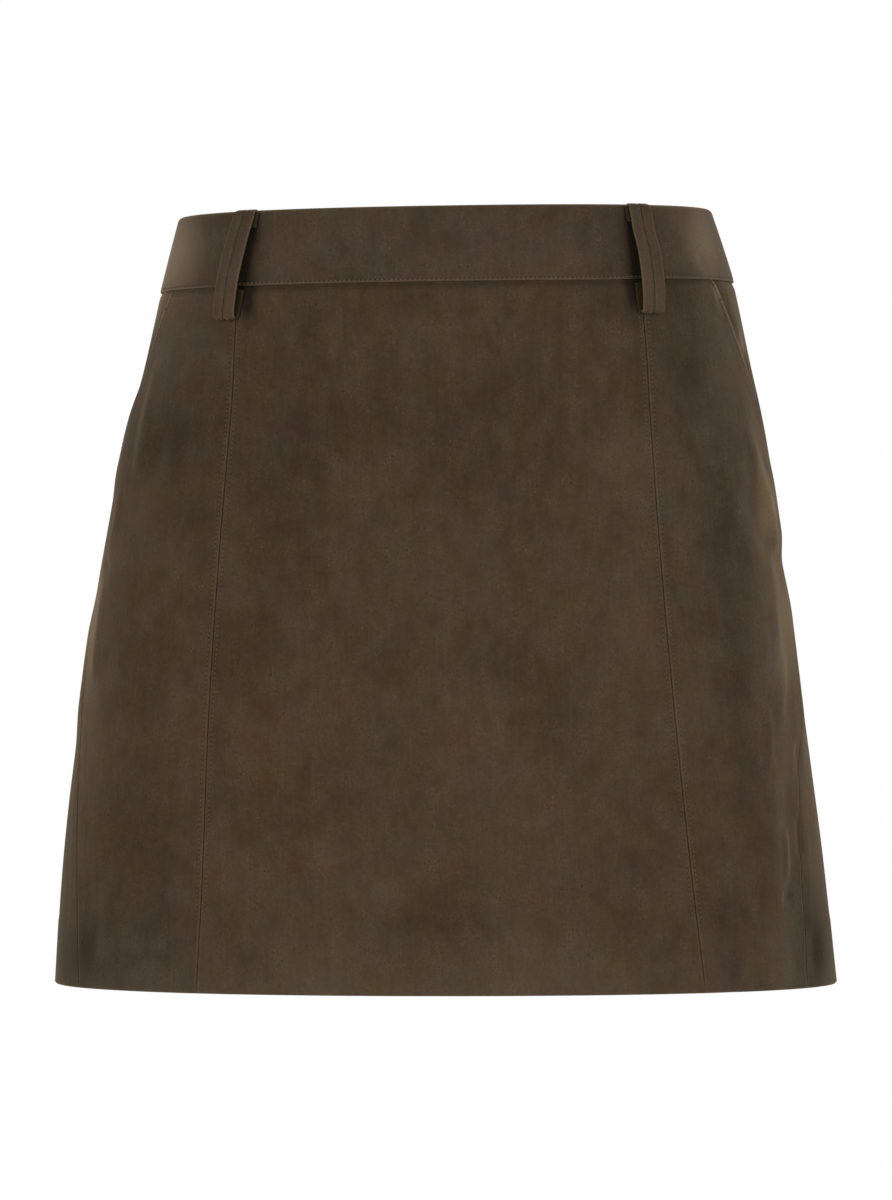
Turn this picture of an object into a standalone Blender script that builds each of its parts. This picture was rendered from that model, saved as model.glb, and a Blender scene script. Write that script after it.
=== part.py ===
"""A-line mini skirt in brushed suede-look cloth, filled out as it sits on a figure.

Frame: metres, +Z up, the front faces -Y, the wearer's left is +X.  The origin is the middle of
the waistband's ring, halfway up the band.  Sizes and tables below are in millimetres.

Every piece lies on one shape: the cloth's ring at each height.  A place on it is (u, z):
u is the distance along the cloth from the centre front, positive to the wearer's left,
and z is the height.  A piece is a grid over its own range of u and z, given a wall.
"""
import math
from collections import namedtuple
from functools import lru_cache

import bmesh
import bpy
import numpy as np
from mathutils import Matrix, Vector

MM = 0.001

# ---------------------------------------------------------------- sizes, mm
BAND_TOP = 18.5
WAIST_SEAM = -18.5
HEM = -365.0
HEM_TURN_UP = 33.0
SEAM_GAP = 0.3

CLOTH_WALL = 1.6
HEM_WALL = 3.0
BAND_WALL = 3.2
BAND_RISE = 0.6            # the band stands proud of the panels below it
BAND_ROLL = 0.9            # rounding of the band's top edge

POCKET_TOP = 153.0         # pocket mouth at the waist seam, from the centre front
POCKET_END = -102.0        # height where the mouth runs into the side seam
BEARER_UNDERLAP = 25.0
BEARER_DEPTH = 2.6         # how far the bearer lies behind the side panel
BEARER_RAMP = 12.0         # it comes up to the surface over this width at the side seam
BEARER_SINK = 11.0         # it is back down this far above the mouth's lower end

LOOP_WIDTH = 11.2
LOOP_FRONT = 106.0         # centre of a front loop at the waist seam, from the centre front
LOOP_BACK = 78.0           # centre of a back loop, from the centre back

ZIP_TAPE_TOP = 4.6
ZIP_TAPE_BOTTOM = -165.0
ZIP_SLIDER_HEIGHT = 11.5
ZIP_SLIT = 2.0             # the band's two back ends stand this far apart
TAPE_WALL = 0.8
TAPE_GAP = 0.35            # from the cloth in front of it
COIL_WALL = 2.2
COIL_HALF_WIDTH = 2.0
TAPE_OFFSETS = (-12.0, -6.0, -2.4, -COIL_HALF_WIDTH, COIL_HALF_WIDTH, 2.4, 6.0, 12.0)

# The slider's body lies behind the band, and its arch stands out through the slit
BODY_WIDTH = 7.0
BODY_LENGTH = 10.0
BODY_WALL = 2.8
BODY_DEPTH = 3.6           # from the band's outer face to the body
ARCH_THICKNESS = 1.2
ARCH_HALF = 3.2            # half its length up the zip
ARCH_REACH = 3.6
ARCH_FLOOR = 0.5
ARCH_BAR = 1.0

# The pull tab is a ring round the arch's bar, with a rounded plate below
PULL_OUT = 1.55            # its pivot, from the band's outer face
PULL_DROP = -1.0           # its pivot, from the slider's middle
PULL_BAR = 1.0
PULL_HOLE = 5.3            # from the pivot to the end of the hole
PULL_HOLE_WIDTH = 2.0
PULL_HEAD = 4.4
PULL_LENGTH = 21.0
PULL_END_RADIUS = 3.0

LEAN = 0.016               # the waist is this much higher towards the wearer's left

# Outline of the cloth at each height.  drift moves the ring sideways, and squareness
# is the exponent of its outline: 2 is an ellipse, more is fuller at the corners.
Section = namedtuple("Section", "z half_width front_depth back_depth drift squareness")
SECTIONS = [
    Section(18.5, 132.3, 90, 96, -0.6, 2.30),
    Section(0, 137.8, 94, 100, 0.1, 2.30),
    Section(-18.5, 142.8, 97, 104, 0.5, 2.30),
    Section(-60, 152.0, 103, 114, 0.4, 2.30),
    Section(-100, 161.4, 108, 124, -0.8, 2.30),
    Section(-140, 167.4, 112, 130, -2.1, 2.30),
    Section(-180, 173.6, 115, 131, -2.4, 2.27),
    Section(-240, 182.0, 121, 132, -2.0, 2.23),
    Section(-300, 189.3, 126, 134, -1.4, 2.19),
    Section(-365, 195.0, 131, 137, 0.0, 2.15),
]

# Distance of the two front seams from the centre front, along the cloth
SeamLine = namedtuple("SeamLine", "z princess side")
SEAM_LINES = [
    SeamLine(18.5, 93.7, 183.7),
    SeamLine(-18.5, 101.0, 198.0),
    SeamLine(-86, 105.2, 208.5),
    SeamLine(-145, 109.7, 215.0),
    SeamLine(-232, 116.5, 213.5),
    SeamLine(-297, 121.3, 206.0),
    SeamLine(-365, 127.5, 202.0),
]

# How far the cloth has slipped round, towards the wearer's left; none at the centre back
Slip = namedtuple("Slip", "z front sides")
SLIPS = [
    Slip(-18.5, -5.0, -5.0),
    Slip(-86, -2.8, -4.5),
    Slip(-145, -1.1, -4.2),
    Slip(-232, -0.1, -4.2),
    Slip(-297, 1.7, -6.5),
    Slip(-365, 2.8, -7.5),
]

# The largest folds.  A fold runs straight over the cloth from its top to its bottom, u is
# measured from the centre of the side it is on, and height is above (or below) the cloth.
Fold = namedtuple("Fold", "side u_top z_top u_bottom z_bottom width height")
FOLDS = [
    Fold("front", 188, -104, 222, -158, 13, 2.4),
    Fold("front", 214, -150, 216, -262, 12, 2.2),
    Fold("front", 200, -236, 192, -345, 14, -2.2),
    Fold("front", 176, -268, 172, -330, 13, 2.0),
    Fold("front", -176, -64, -206, -128, 14, 1.2),
    Fold("front", -150, -84, -178, -150, 16, -2.2),
    Fold("front", -222, -166, -228, -250, 13, 1.2),
    Fold("front", -158, -268, -150, -352, 20, -2.6),
    Fold("front", 18, -150, -8, -200, 22, 1.4),
    Fold("back", 118, -70, 176, -146, 16, -2.4),
    Fold("back", -112, -66, -170, -138, 17, -2.2),
    Fold("back", 92, -196, 78, -352, 22, 2.6),
    Fold("back", -104, -214, -96, -360, 20, 2.4),
    Fold("back", 10, -250, -6, -362, 24, -1.8),
]
FOLD_END = 0.3             # share of a fold's length over which it fades out

# Belt loop, folded under and stitched at both ends: heights above the cloth
LoopRow = namedtuple("LoopRow", "z over under")
LOOP_ROWS = [
    LoopRow(20.6, 3.0, 1.2),
    LoopRow(19.0, 4.8, 0.9),
    LoopRow(12.5, 5.8, 0.9),
    LoopRow(10.0, 8.2, 5.0),
    LoopRow(4.0, 10.1, 7.9),
    LoopRow(-6.0, 10.4, 8.2),
    LoopRow(-16.0, 10.0, 7.8),
    LoopRow(-23.5, 8.2, 5.2),
    LoopRow(-26.5, 5.6, 0.3),
    LoopRow(-33.5, 4.4, 0.3),
    LoopRow(-35.6, 2.6, 0.3),
]

# The waistband, two layers with a rolled top edge: heights above the cloth
BandRow = namedtuple("BandRow", "z over under")
BAND_UNDER = BAND_RISE - BAND_WALL
BAND_ROWS = [
    BandRow(BAND_TOP, BAND_RISE - BAND_ROLL, BAND_UNDER + BAND_ROLL),
    BandRow(BAND_TOP - BAND_ROLL, BAND_RISE, BAND_UNDER),
    BandRow(6.0, BAND_RISE, BAND_UNDER),
    BandRow(-6.0, BAND_RISE, BAND_UNDER),
    BandRow(WAIST_SEAM + SEAM_GAP / 2, BAND_RISE, BAND_UNDER),
]

RING_STEPS = 1440
ROW_SPACING = 18.0


# ---------------------------------------------------------------- the cloth's shape
def follow(table, column, z):
    """A smooth curve through one column of a table, read at height z."""
    heights = [row.z for row in reversed(table)]
    values = [getattr(row, column) for row in reversed(table)]
    z = min(max(z, heights[0]), heights[-1])
    spans = len(heights) - 1
    lengths = [heights[i + 1] - heights[i] for i in range(spans)]
    rises = [(values[i + 1] - values[i]) / lengths[i] for i in range(spans)]
    i = next(k for k in range(spans) if z <= heights[k + 1])

    def slope(k):
        if k in (0, spans):
            return rises[0] if k == 0 else rises[-1]
        total = lengths[k - 1] + lengths[k]
        return (rises[k - 1] * lengths[k] + rises[k] * lengths[k - 1]) / total

    t = (z - heights[i]) / lengths[i]
    start, end = values[i], values[i + 1]
    leave, arrive = slope(i) * lengths[i], slope(i + 1) * lengths[i]
    return (start * (1 + 2 * t) * (1 - t) ** 2 + leave * t * (1 - t) ** 2
            + end * t * t * (3 - 2 * t) + arrive * t * t * (t - 1))


def ease(low, high, value):
    """0 below low, 1 above high and smooth between them."""
    t = min(max((value - low) / (high - low), 0.0), 1.0)
    return t * t * (3 - 2 * t)


@lru_cache(maxsize=None)
def section(z):
    """The ring's half width, front depth, back depth, drift and squareness at z."""
    return tuple(follow(SECTIONS, name, z) for name in Section._fields[1:])


def outline(angle, z):
    """Point of the ring at an angle from the centre front, and its outward direction."""
    half_width, front_depth, back_depth, drift, power = section(z)
    across, ahead = np.sin(angle), np.cos(angle)
    depth = np.where(ahead > 0, front_depth, back_depth)
    sum_of_powers = np.abs(ahead / depth) ** power + np.abs(across / half_width) ** power
    radius = sum_of_powers ** (-1 / power)
    x, y = radius * across, -radius * ahead
    out_x = np.sign(x) * np.abs(x / half_width) ** (power - 1) / half_width
    out_y = np.sign(y) * np.abs(y / depth) ** (power - 1) / depth
    length = np.hypot(out_x, out_y)
    return x + drift, y, out_x / length, out_y / length


@lru_cache(maxsize=None)
def ring(z):
    """Angles round the ring and the length of cloth from the centre front to each."""
    angles = np.linspace(0, 2 * math.pi, RING_STEPS + 1)
    x, y, _, _ = outline(angles, z)
    lengths = np.concatenate([[0], np.cumsum(np.hypot(np.diff(x), np.diff(y)))])
    return angles, lengths


def girth(z):
    return float(ring(z)[1][-1])


def signed(u, z):
    """u between minus and plus half the girth."""
    half = girth(z) / 2
    return (u + half) % (2 * half) - half


def slipped(u, z):
    """Where the cloth at u lies round the ring, in mm from the ring's own front."""
    share = abs(signed(u, z)) / (girth(z) / 2)
    front, sides = follow(SLIPS, "front", z), follow(SLIPS, "sides", z)
    if share < 0.5:
        return u + front + (sides - front) * ease(0.25, 0.5, share)
    return u + sides * (1 - ease(0.5, 1, share))


def fold_height(u, z):
    """Height of the folds over the plain cloth at (u, z)."""
    total = 0.0
    for fold in FOLDS:
        centre = 0.0 if fold.side == "front" else girth(z) / 2
        along = Vector((fold.u_bottom - fold.u_top, fold.z_bottom - fold.z_top))
        here = Vector((signed(u - centre, z) - fold.u_top, z - fold.z_top))
        share = here.dot(along) / along.length_squared
        if 0 < share < 1:
            aside = (here - along * share).length / fold.width
            fade = ease(0, FOLD_END, share) * ease(0, FOLD_END, 1 - share)
            total += fold.height * fade * math.exp(-aside * aside)
    return total


def cloth_point(u, z, lift=0.0):
    """The place of (u, z) in metres, lifted off the cloth by lift in mm."""
    level = min(z, BAND_TOP)
    angles, lengths = ring(level)
    angle = np.interp(slipped(u, level) % lengths[-1], lengths, angles)
    x, y, out_x, out_y = outline(angle, level)
    away = lift + fold_height(u, level)
    x, y = x + out_x * away, y + out_y * away
    raised = LEAN * x * (level - HEM) / (BAND_TOP - HEM)
    return Vector((x, y, z + raised)) * MM


# ---------------------------------------------------------------- scene, materials, grids
for old in list(bpy.data.objects):
    bpy.data.objects.remove(old)
collection = bpy.data.collections.new("suede_look_mini_skirt")
bpy.context.scene.collection.children.link(collection)
cutters = bpy.data.collections.new("cutters")
bpy.context.scene.collection.children.link(cutters)


def material(name, colour, roughness, metallic=0.0):
    made = bpy.data.materials.new(name)
    made.use_nodes = True
    shader = made.node_tree.nodes["Principled BSDF"]
    shader.inputs["Base Color"].default_value = (*colour, 1)
    shader.inputs["Roughness"].default_value = roughness
    shader.inputs["Metallic"].default_value = metallic
    return made


SUEDE = material("brown_suede", (0.062, 0.042, 0.026), 0.95)
BAND_SUEDE = material("waistband_suede", (0.060, 0.042, 0.027), 0.95)
TAPE = material("zip_tape_cloth", (0.035, 0.024, 0.016), 0.9)
ZIP_METAL = material("antique_zip_metal", (0.20, 0.17, 0.13), 0.4, 1.0)


def face_outwards(shape):
    """Turn a closed shape's faces outwards, also where the shape is a bent strip."""
    bmesh.ops.recalc_face_normals(shape, faces=shape.faces)
    if shape.calc_volume(signed=True) < 0:
        bmesh.ops.reverse_faces(shape, faces=shape.faces)


def grid_piece(name, heights, columns, across, over, under, finish):
    """A closed wall of cloth: a grid of (u, z) places, given an outer and an inner face.

    heights lists the rows' z from the top, across(share, z) is the u at a share of the way
    over the piece, and over(u, row) and under(u, row) are the heights of the two faces.
    """
    cloth = bmesh.new()
    last_row = len(heights) - 1
    bmesh.ops.create_grid(cloth, x_segments=columns, y_segments=last_row, size=0.5)
    outer = list(cloth.verts)
    made = bmesh.ops.extrude_face_region(cloth, geom=cloth.faces[:], use_keep_orig=True)
    inner = [item for item in made["geom"] if isinstance(item, bmesh.types.BMVert)]
    for vertices, height in ((outer, over), (inner, under)):
        for vertex in vertices:
            row = round((0.5 - vertex.co.y) * last_row)
            u = across(vertex.co.x + 0.5, heights[row])
            vertex.co = cloth_point(u, heights[row], height(u, row))
    face_outwards(cloth)
    return finish_object(name, cloth, finish)


def between(edges):
    """Even columns between the two edges that edges(z) gives."""
    def across(share, z):
        first, last = edges(z)
        return first + (last - first) * share
    return across


def finish_object(name, shape, finish):
    mesh = bpy.data.meshes.new(name)
    shape.to_mesh(mesh)
    shape.free()
    mesh.materials.append(finish)
    mesh.shade_smooth()
    mesh.set_sharp_from_angle(angle=math.radians(35))
    made = bpy.data.objects.new(name, mesh)
    collection.objects.link(made)
    return made


# ---------------------------------------------------------------- the skirt's panels
def princess(z):
    return follow(SEAM_LINES, "princess", z)


def side(z):
    return follow(SEAM_LINES, "side", z)


def pocket_mouth(z):
    """The pocket's slanted edge, from the waist seam to the side seam."""
    drop = min(max((WAIST_SEAM - z) / (WAIST_SEAM - POCKET_END), 0.0), 1.0)
    return POCKET_TOP + (side(POCKET_END) - POCKET_TOP) * drop


def side_panel_edge(z):
    return pocket_mouth(z) if z > POCKET_END else side(z)


def spaced(top, bottom):
    """Heights from top to bottom, about ROW_SPACING apart."""
    steps = max(1, round((top - bottom) / ROW_SPACING))
    return [top + (bottom - top) * step / steps for step in range(steps + 1)]


TOP_ROW = WAIST_SEAM - SEAM_GAP / 2
TURN_UP = HEM + HEM_TURN_UP
PANEL_HEIGHTS = (spaced(TOP_ROW, POCKET_END) + spaced(POCKET_END, TURN_UP + 1)[1:]
                 + spaced(TURN_UP, HEM))


def panel_under(u, row):
    return -HEM_WALL if PANEL_HEIGHTS[row] <= TURN_UP else -CLOTH_WALL


def flush(u, row):
    return 0.0


HALF_GAP = SEAM_GAP / 2
grid_piece("front_panel", PANEL_HEIGHTS, 16,
           between(lambda z: (HALF_GAP - princess(z), princess(z) - HALF_GAP)),
           flush, panel_under, SUEDE)

for hand, sign in (("left", 1), ("right", -1)):
    grid_piece(f"front_side_panel_{hand}", PANEL_HEIGHTS, 9,
               between(lambda z: (sign * (princess(z) + HALF_GAP),
                                  sign * (side_panel_edge(z) - HALF_GAP))),
               flush, panel_under, SUEDE)
    grid_piece(f"back_panel_{hand}", PANEL_HEIGHTS, 16,
               between(lambda z: (sign * (side(z) + HALF_GAP),
                                  sign * (girth(z) / 2 - HALF_GAP))),
               flush, panel_under, SUEDE)

# ---------------------------------------------------------------- pocket bearers
BEARER_HEIGHTS = [z for z in PANEL_HEIGHTS if z > POCKET_END - ROW_SPACING * 1.5]


def bearer_over(u, row):
    """Level with the back panel at the side seam, and behind the side panel elsewhere."""
    z = BEARER_HEIGHTS[row]
    under_panel = 1 - ease(POCKET_END + BEARER_SINK, POCKET_END + 3 * BEARER_SINK, z)
    return -BEARER_DEPTH * max(ease(0, BEARER_RAMP, side(z) - abs(u)), under_panel)


def bearer_under(u, row):
    return bearer_over(u, row) - CLOTH_WALL


for hand, sign in (("left", 1), ("right", -1)):
    grid_piece(f"pocket_bearer_{hand}", BEARER_HEIGHTS, 9,
               between(lambda z: (sign * (side_panel_edge(z) - BEARER_UNDERLAP),
                                  sign * (side(z) - HALF_GAP))),
               bearer_over, bearer_under, SUEDE)

# ---------------------------------------------------------------- waistband
BAND_HEIGHTS = [row.z for row in BAND_ROWS]


def band_over(u, row):
    return BAND_ROWS[row].over


def band_under(u, row):
    return BAND_ROWS[row].under


grid_piece("waistband_front", BAND_HEIGHTS, 28,
           between(lambda z: (HALF_GAP - side(z), side(z) - HALF_GAP)),
           band_over, band_under, BAND_SUEDE)
for hand, sign in (("left", 1), ("right", -1)):
    grid_piece(f"waistband_back_{hand}", BAND_HEIGHTS, 14,
               between(lambda z: (sign * (side(z) + HALF_GAP),
                                  sign * (girth(z) - ZIP_SLIT) / 2)),
               band_over, band_under, BAND_SUEDE)


# ---------------------------------------------------------------- belt loops
def belt_loop(name, centre):
    """centre(z) is the loop's middle line; it spreads with the band's own girth."""
    grid_piece(name, [row.z for row in LOOP_ROWS], 2,
               between(lambda z: (centre(z) - LOOP_WIDTH / 2, centre(z) + LOOP_WIDTH / 2)),
               lambda u, row: LOOP_ROWS[row].over,
               lambda u, row: LOOP_ROWS[row].under, BAND_SUEDE)


def spread(z):
    return girth(min(max(z, WAIST_SEAM), BAND_TOP)) / girth(WAIST_SEAM)


for hand, sign in (("left", 1), ("right", -1)):
    belt_loop(f"belt_loop_front_{hand}", lambda z: sign * LOOP_FRONT * spread(z))
    belt_loop(f"belt_loop_back_{hand}",
              lambda z: sign * (girth(min(z, BAND_TOP)) / 2 - LOOP_BACK * spread(z)))

# ---------------------------------------------------------------- centre-back zip
TAPE_HEIGHTS = (spaced(ZIP_TAPE_TOP, WAIST_SEAM - 0.5)
                + spaced(WAIST_SEAM - 3.5, ZIP_TAPE_BOTTOM))


def tape_across(share, z):
    column = round(share * (len(TAPE_OFFSETS) - 1))
    return girth(z) / 2 + TAPE_OFFSETS[column]


def tape_over(u, row):
    behind = BAND_UNDER if TAPE_HEIGHTS[row] > WAIST_SEAM - 1 else -CLOTH_WALL
    return behind - TAPE_GAP


def tape_under(u, row):
    from_seam = abs(u - girth(TAPE_HEIGHTS[row]) / 2)
    return tape_over(u, row) - (COIL_WALL if from_seam < COIL_HALF_WIDTH + 0.1 else TAPE_WALL)


# Both tapes and the closed coil, as one strip behind the centre-back seam
grid_piece("zip_tape", TAPE_HEIGHTS, len(TAPE_OFFSETS) - 1,
           tape_across, tape_over, tape_under, TAPE)


def centre_back(z):
    return cloth_point(girth(z) / 2, z, BAND_RISE)


def zip_frame():
    """A frame on the band's outer face: x along the band, y outwards and z up the zip."""
    along = Vector((1, 0, 0))
    upward = centre_back(ZIP_SLIDER_HEIGHT + 3) - centre_back(ZIP_SLIDER_HEIGHT - 3)
    upward = Vector((0, upward.y, upward.z)).normalized()
    outward = upward.cross(along)
    turn = Matrix((along, outward, upward)).transposed().to_4x4()
    return Matrix.Translation(centre_back(ZIP_SLIDER_HEIGHT)) @ turn


def flat_piece(name, outlines, thickness, placed, finish):
    """A plate from closed outlines in mm, the first its edge and the rest its holes."""
    flat = bpy.data.curves.new(name, "CURVE")
    flat.dimensions = "2D"
    flat.fill_mode = "BOTH"
    flat.extrude = thickness / 2 * MM
    for points in outlines:
        spline = flat.splines.new("POLY")
        spline.points.add(len(points) - 1)
        for point, (x, y) in zip(spline.points, points):
            point.co = (x * MM, y * MM, 0, 1)
        spline.use_cyclic_u = True
    drawn = bpy.data.objects.new(name, flat)
    bpy.context.scene.collection.objects.link(drawn)
    evaluated = drawn.evaluated_get(bpy.context.evaluated_depsgraph_get())
    plate = bmesh.new()
    plate.from_mesh(bpy.data.meshes.new_from_object(evaluated))
    bpy.data.objects.remove(drawn)
    bmesh.ops.remove_doubles(plate, verts=plate.verts, dist=0.01 * MM)
    bmesh.ops.transform(plate, matrix=placed, verts=plate.verts)
    face_outwards(plate)
    return finish_object(name, plate, finish)


def box_outline(left, right, bottom, top):
    return [(left, bottom), (right, bottom), (right, top), (left, top)]


FRAME = zip_frame()
# The outline's x and y become the frame's outward and upward directions
EDGE_ON = Matrix(((0, 0, 1, 0), (1, 0, 0, 0), (0, 1, 0, 0), (0, 0, 0, 1)))
# The outline's x and y become the frame's along and upward directions
FACE_ON = Matrix(((1, 0, 0, 0), (0, 0, -1, 0), (0, 1, 0, 0), (0, 0, 0, 1)))

slider = flat_piece("zip_slider", [
    box_outline(-BODY_DEPTH - 0.2, ARCH_REACH, -ARCH_HALF, ARCH_HALF),
    box_outline(ARCH_FLOOR, ARCH_REACH - ARCH_BAR, -ARCH_HALF + ARCH_BAR, ARCH_HALF - ARCH_BAR),
], ARCH_THICKNESS, FRAME @ EDGE_ON, ZIP_METAL)
body = flat_piece("zip_slider_body", [
    box_outline(-BODY_WIDTH / 2, BODY_WIDTH / 2, -BODY_LENGTH / 2, BODY_LENGTH / 2),
], BODY_WALL, FRAME @ Matrix.Translation((0, -(BODY_DEPTH + BODY_WALL / 2) * MM, 0)) @ FACE_ON,
    ZIP_METAL)
body.hide_render = True
body.display_type = "WIRE"
collection.objects.unlink(body)
cutters.objects.link(body)
joined = slider.modifiers.new("body", "BOOLEAN")
joined.operation = "UNION"
joined.object = body

pull_pivot = FRAME @ Vector((0, PULL_OUT * MM, PULL_DROP * MM))
end_centre = -PULL_LENGTH + PULL_END_RADIUS
rounded_end = [(PULL_END_RADIUS * math.cos(angle), end_centre - PULL_END_RADIUS * math.sin(angle))
               for angle in np.linspace(0, math.pi, 9)]
pull_outline = [(-PULL_HEAD / 2, PULL_BAR / 2), (PULL_HEAD / 2, PULL_BAR / 2),
                (PULL_HEAD / 2, -PULL_HOLE)] + rounded_end + [(-PULL_HEAD / 2, -PULL_HOLE)]
pull_hole = box_outline(-PULL_HOLE_WIDTH / 2, PULL_HOLE_WIDTH / 2, -PULL_HOLE, -PULL_BAR / 2)
pull = flat_piece("zip_pull", [pull_outline, pull_hole], PULL_BAR,
                  FRAME.to_3x3().to_4x4() @ FACE_ON, ZIP_METAL)
pull.location = pull_pivot

print("zip pull turns about", [round(value, 5) for value in pull_pivot])
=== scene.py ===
# %% [markdown]
# # A mini skirt in brushed suede-look cloth
#
# This notebook dresses a plain solid model of a skirt.  The solids say where every panel,
# band and loop is.  Here each one becomes cloth: a thin wall with folded edges, stitched
# seams, soft creases and a brushed nap.  The skirt is filled out as if worn, by nobody.
#
# Lengths in the tables are millimetres, because a maker works in them.  They become metres
# where a vertex is placed.

# %% Load the solid model
import math
from collections import namedtuple

import bmesh
import bpy
import numpy as np
from mathutils import Matrix, Vector, noise


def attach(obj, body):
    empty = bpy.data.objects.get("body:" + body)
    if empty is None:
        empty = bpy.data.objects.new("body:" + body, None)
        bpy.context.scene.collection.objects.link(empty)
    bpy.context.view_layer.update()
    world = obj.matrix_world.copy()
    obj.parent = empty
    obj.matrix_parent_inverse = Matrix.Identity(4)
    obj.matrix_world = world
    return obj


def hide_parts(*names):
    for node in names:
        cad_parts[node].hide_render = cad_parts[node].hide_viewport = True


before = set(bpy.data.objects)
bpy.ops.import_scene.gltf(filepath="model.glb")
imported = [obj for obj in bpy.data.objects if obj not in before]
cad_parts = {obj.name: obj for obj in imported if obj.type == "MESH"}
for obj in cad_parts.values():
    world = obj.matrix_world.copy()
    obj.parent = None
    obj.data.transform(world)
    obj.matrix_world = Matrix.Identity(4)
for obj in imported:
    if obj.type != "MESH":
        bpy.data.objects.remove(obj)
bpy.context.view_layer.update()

MM = 0.001
SKIRT_BODY = "skirt"
TAB_BODY = "pull_tab"


def add_object(name, data):
    """Put a mesh, a light or a camera in the scene."""
    made = bpy.data.objects.new(name, data)
    bpy.context.scene.collection.objects.link(made)
    return made

# %% [markdown]
# ## The camera
#
# The skirt is seen straight from the front, from the height of its middle, through a long
# lens 3.6 m away.  A long lens keeps the hem and the waistband in true proportion.

# %% Place the camera
CAMERA_DISTANCE = 3.6
CAMERA_HEIGHT = -0.174

camera_data = bpy.data.cameras.new("front_camera")
camera_data.lens = 216.0
camera_data.sensor_width = 36.0
camera_data.clip_end = 100.0
camera = add_object("front_camera", camera_data)
camera.location = (0, -CAMERA_DISTANCE, CAMERA_HEIGHT)
camera.rotation_euler = (math.radians(90), 0, 0)
bpy.context.scene.camera = camera
print("the camera stands at", tuple(round(value, 3) for value in camera.location))

# %% [markdown]
# ## One shape under every piece
#
# A filled-out skirt is a tube whose ring changes with the height.  A table gives the ring's
# half width and its depth in front and behind, and a smooth curve runs through each column.
# A place on the cloth is then two numbers: *u*, the distance along the cloth from the centre
# front, and *z*, the height.  The solids were made from the same tables, so the cloth lies on
# them without any fitting.

# %% Heights and cloth sizes
BAND_TOP = 18.5
WAIST_SEAM = -18.5
HEM = -365.0
HEM_TURN_UP = 33.0
TURN_UP = HEM + HEM_TURN_UP
LEAN = 0.016               # the waist is this much higher towards the wearer's left
SEAM_RISE = 1.1            # and the waist seam is pulled up a little more there

def table_of(kind, *rows):
    """Rows of plain numbers, with a name for each column."""
    return [kind(*row) for row in rows]


Section = namedtuple("Section", "z half_width front_depth back_depth drift squareness")
SECTIONS = table_of(
    Section,
    (18.5, 132.3, 90, 96, -0.6, 2.30),
    (0, 137.8, 94, 100, 0.1, 2.30),
    (-18.5, 142.8, 97, 104, 0.5, 2.30),
    (-60, 152.0, 103, 114, 0.4, 2.30),
    (-100, 161.4, 108, 124, -0.8, 2.30),
    (-140, 167.4, 112, 130, -2.1, 2.30),
    (-180, 173.6, 115, 131, -2.4, 2.27),
    (-240, 182.0, 121, 132, -2.0, 2.23),
    (-300, 189.3, 126, 134, -1.4, 2.19),
    (-365, 195.0, 131, 137, 0.0, 2.15))

# Distance of the two front seams from the centre front, along the cloth
SeamLine = namedtuple("SeamLine", "z princess side")
SEAM_LINES = table_of(
    SeamLine,
    (18.5, 93.7, 183.7), (-18.5, 101.0, 198.0), (-86, 105.2, 208.5), (-145, 109.7, 215.0),
    (-232, 116.5, 213.5), (-297, 121.3, 206.0), (-365, 127.5, 202.0))

# How far the cloth has slipped round, towards the wearer's left; none at the centre back
Slip = namedtuple("Slip", "z front sides")
SLIPS = table_of(
    Slip,
    (-18.5, -5.0, -5.0), (-86, -2.8, -4.5), (-145, -1.1, -4.2), (-232, -0.1, -4.2),
    (-297, 1.7, -6.5), (-365, 2.8, -7.5))


# %% Smooth curves through a table
def follow(table, column, z):
    """A smooth curve through one column of a table, read at every height in z."""
    heights = np.array([row.z for row in reversed(table)], float)
    values = np.array([getattr(row, column) for row in reversed(table)], float)
    lengths = np.diff(heights)
    rises = np.diff(values) / lengths
    slopes = np.concatenate([
        rises[:1],
        (rises[:-1] * lengths[1:] + rises[1:] * lengths[:-1]) / (lengths[:-1] + lengths[1:]),
        rises[-1:]])
    z = np.clip(z, heights[0], heights[-1])
    i = np.clip(np.searchsorted(heights, z) - 1, 0, len(lengths) - 1)
    t = (z - heights[i]) / lengths[i]
    return (values[i] * (1 + 2 * t) * (1 - t) ** 2 + slopes[i] * lengths[i] * t * (1 - t) ** 2
            + values[i + 1] * t * t * (3 - 2 * t) + slopes[i + 1] * lengths[i] * t * t * (t - 1))


def ease(low, high, value):
    """0 below low, 1 above high and smooth between them."""
    t = np.clip((np.asarray(value, float) - low) / (high - low), 0, 1)
    return t * t * (3 - 2 * t)


def hill(value, middle, width):
    """1 at the middle, and next to nothing two widths away."""
    return np.exp(-((value - middle) / width) ** 2)


def princess(z):
    return follow(SEAM_LINES, "princess", z)


def side(z):
    return follow(SEAM_LINES, "side", z)


print("the front seams run", round(float(princess(WAIST_SEAM)), 1), "to",
      round(float(princess(HEM)), 1), "mm from the centre front")


# %% [markdown]
# The outline of a ring is a superellipse, a little squarer than an ellipse, as a skirt is
# when hips fill it.  The length of cloth round it has no formula, so the script walks round
# each ring once, in small steps, and keeps a table of the angle at each share of the girth.

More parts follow.
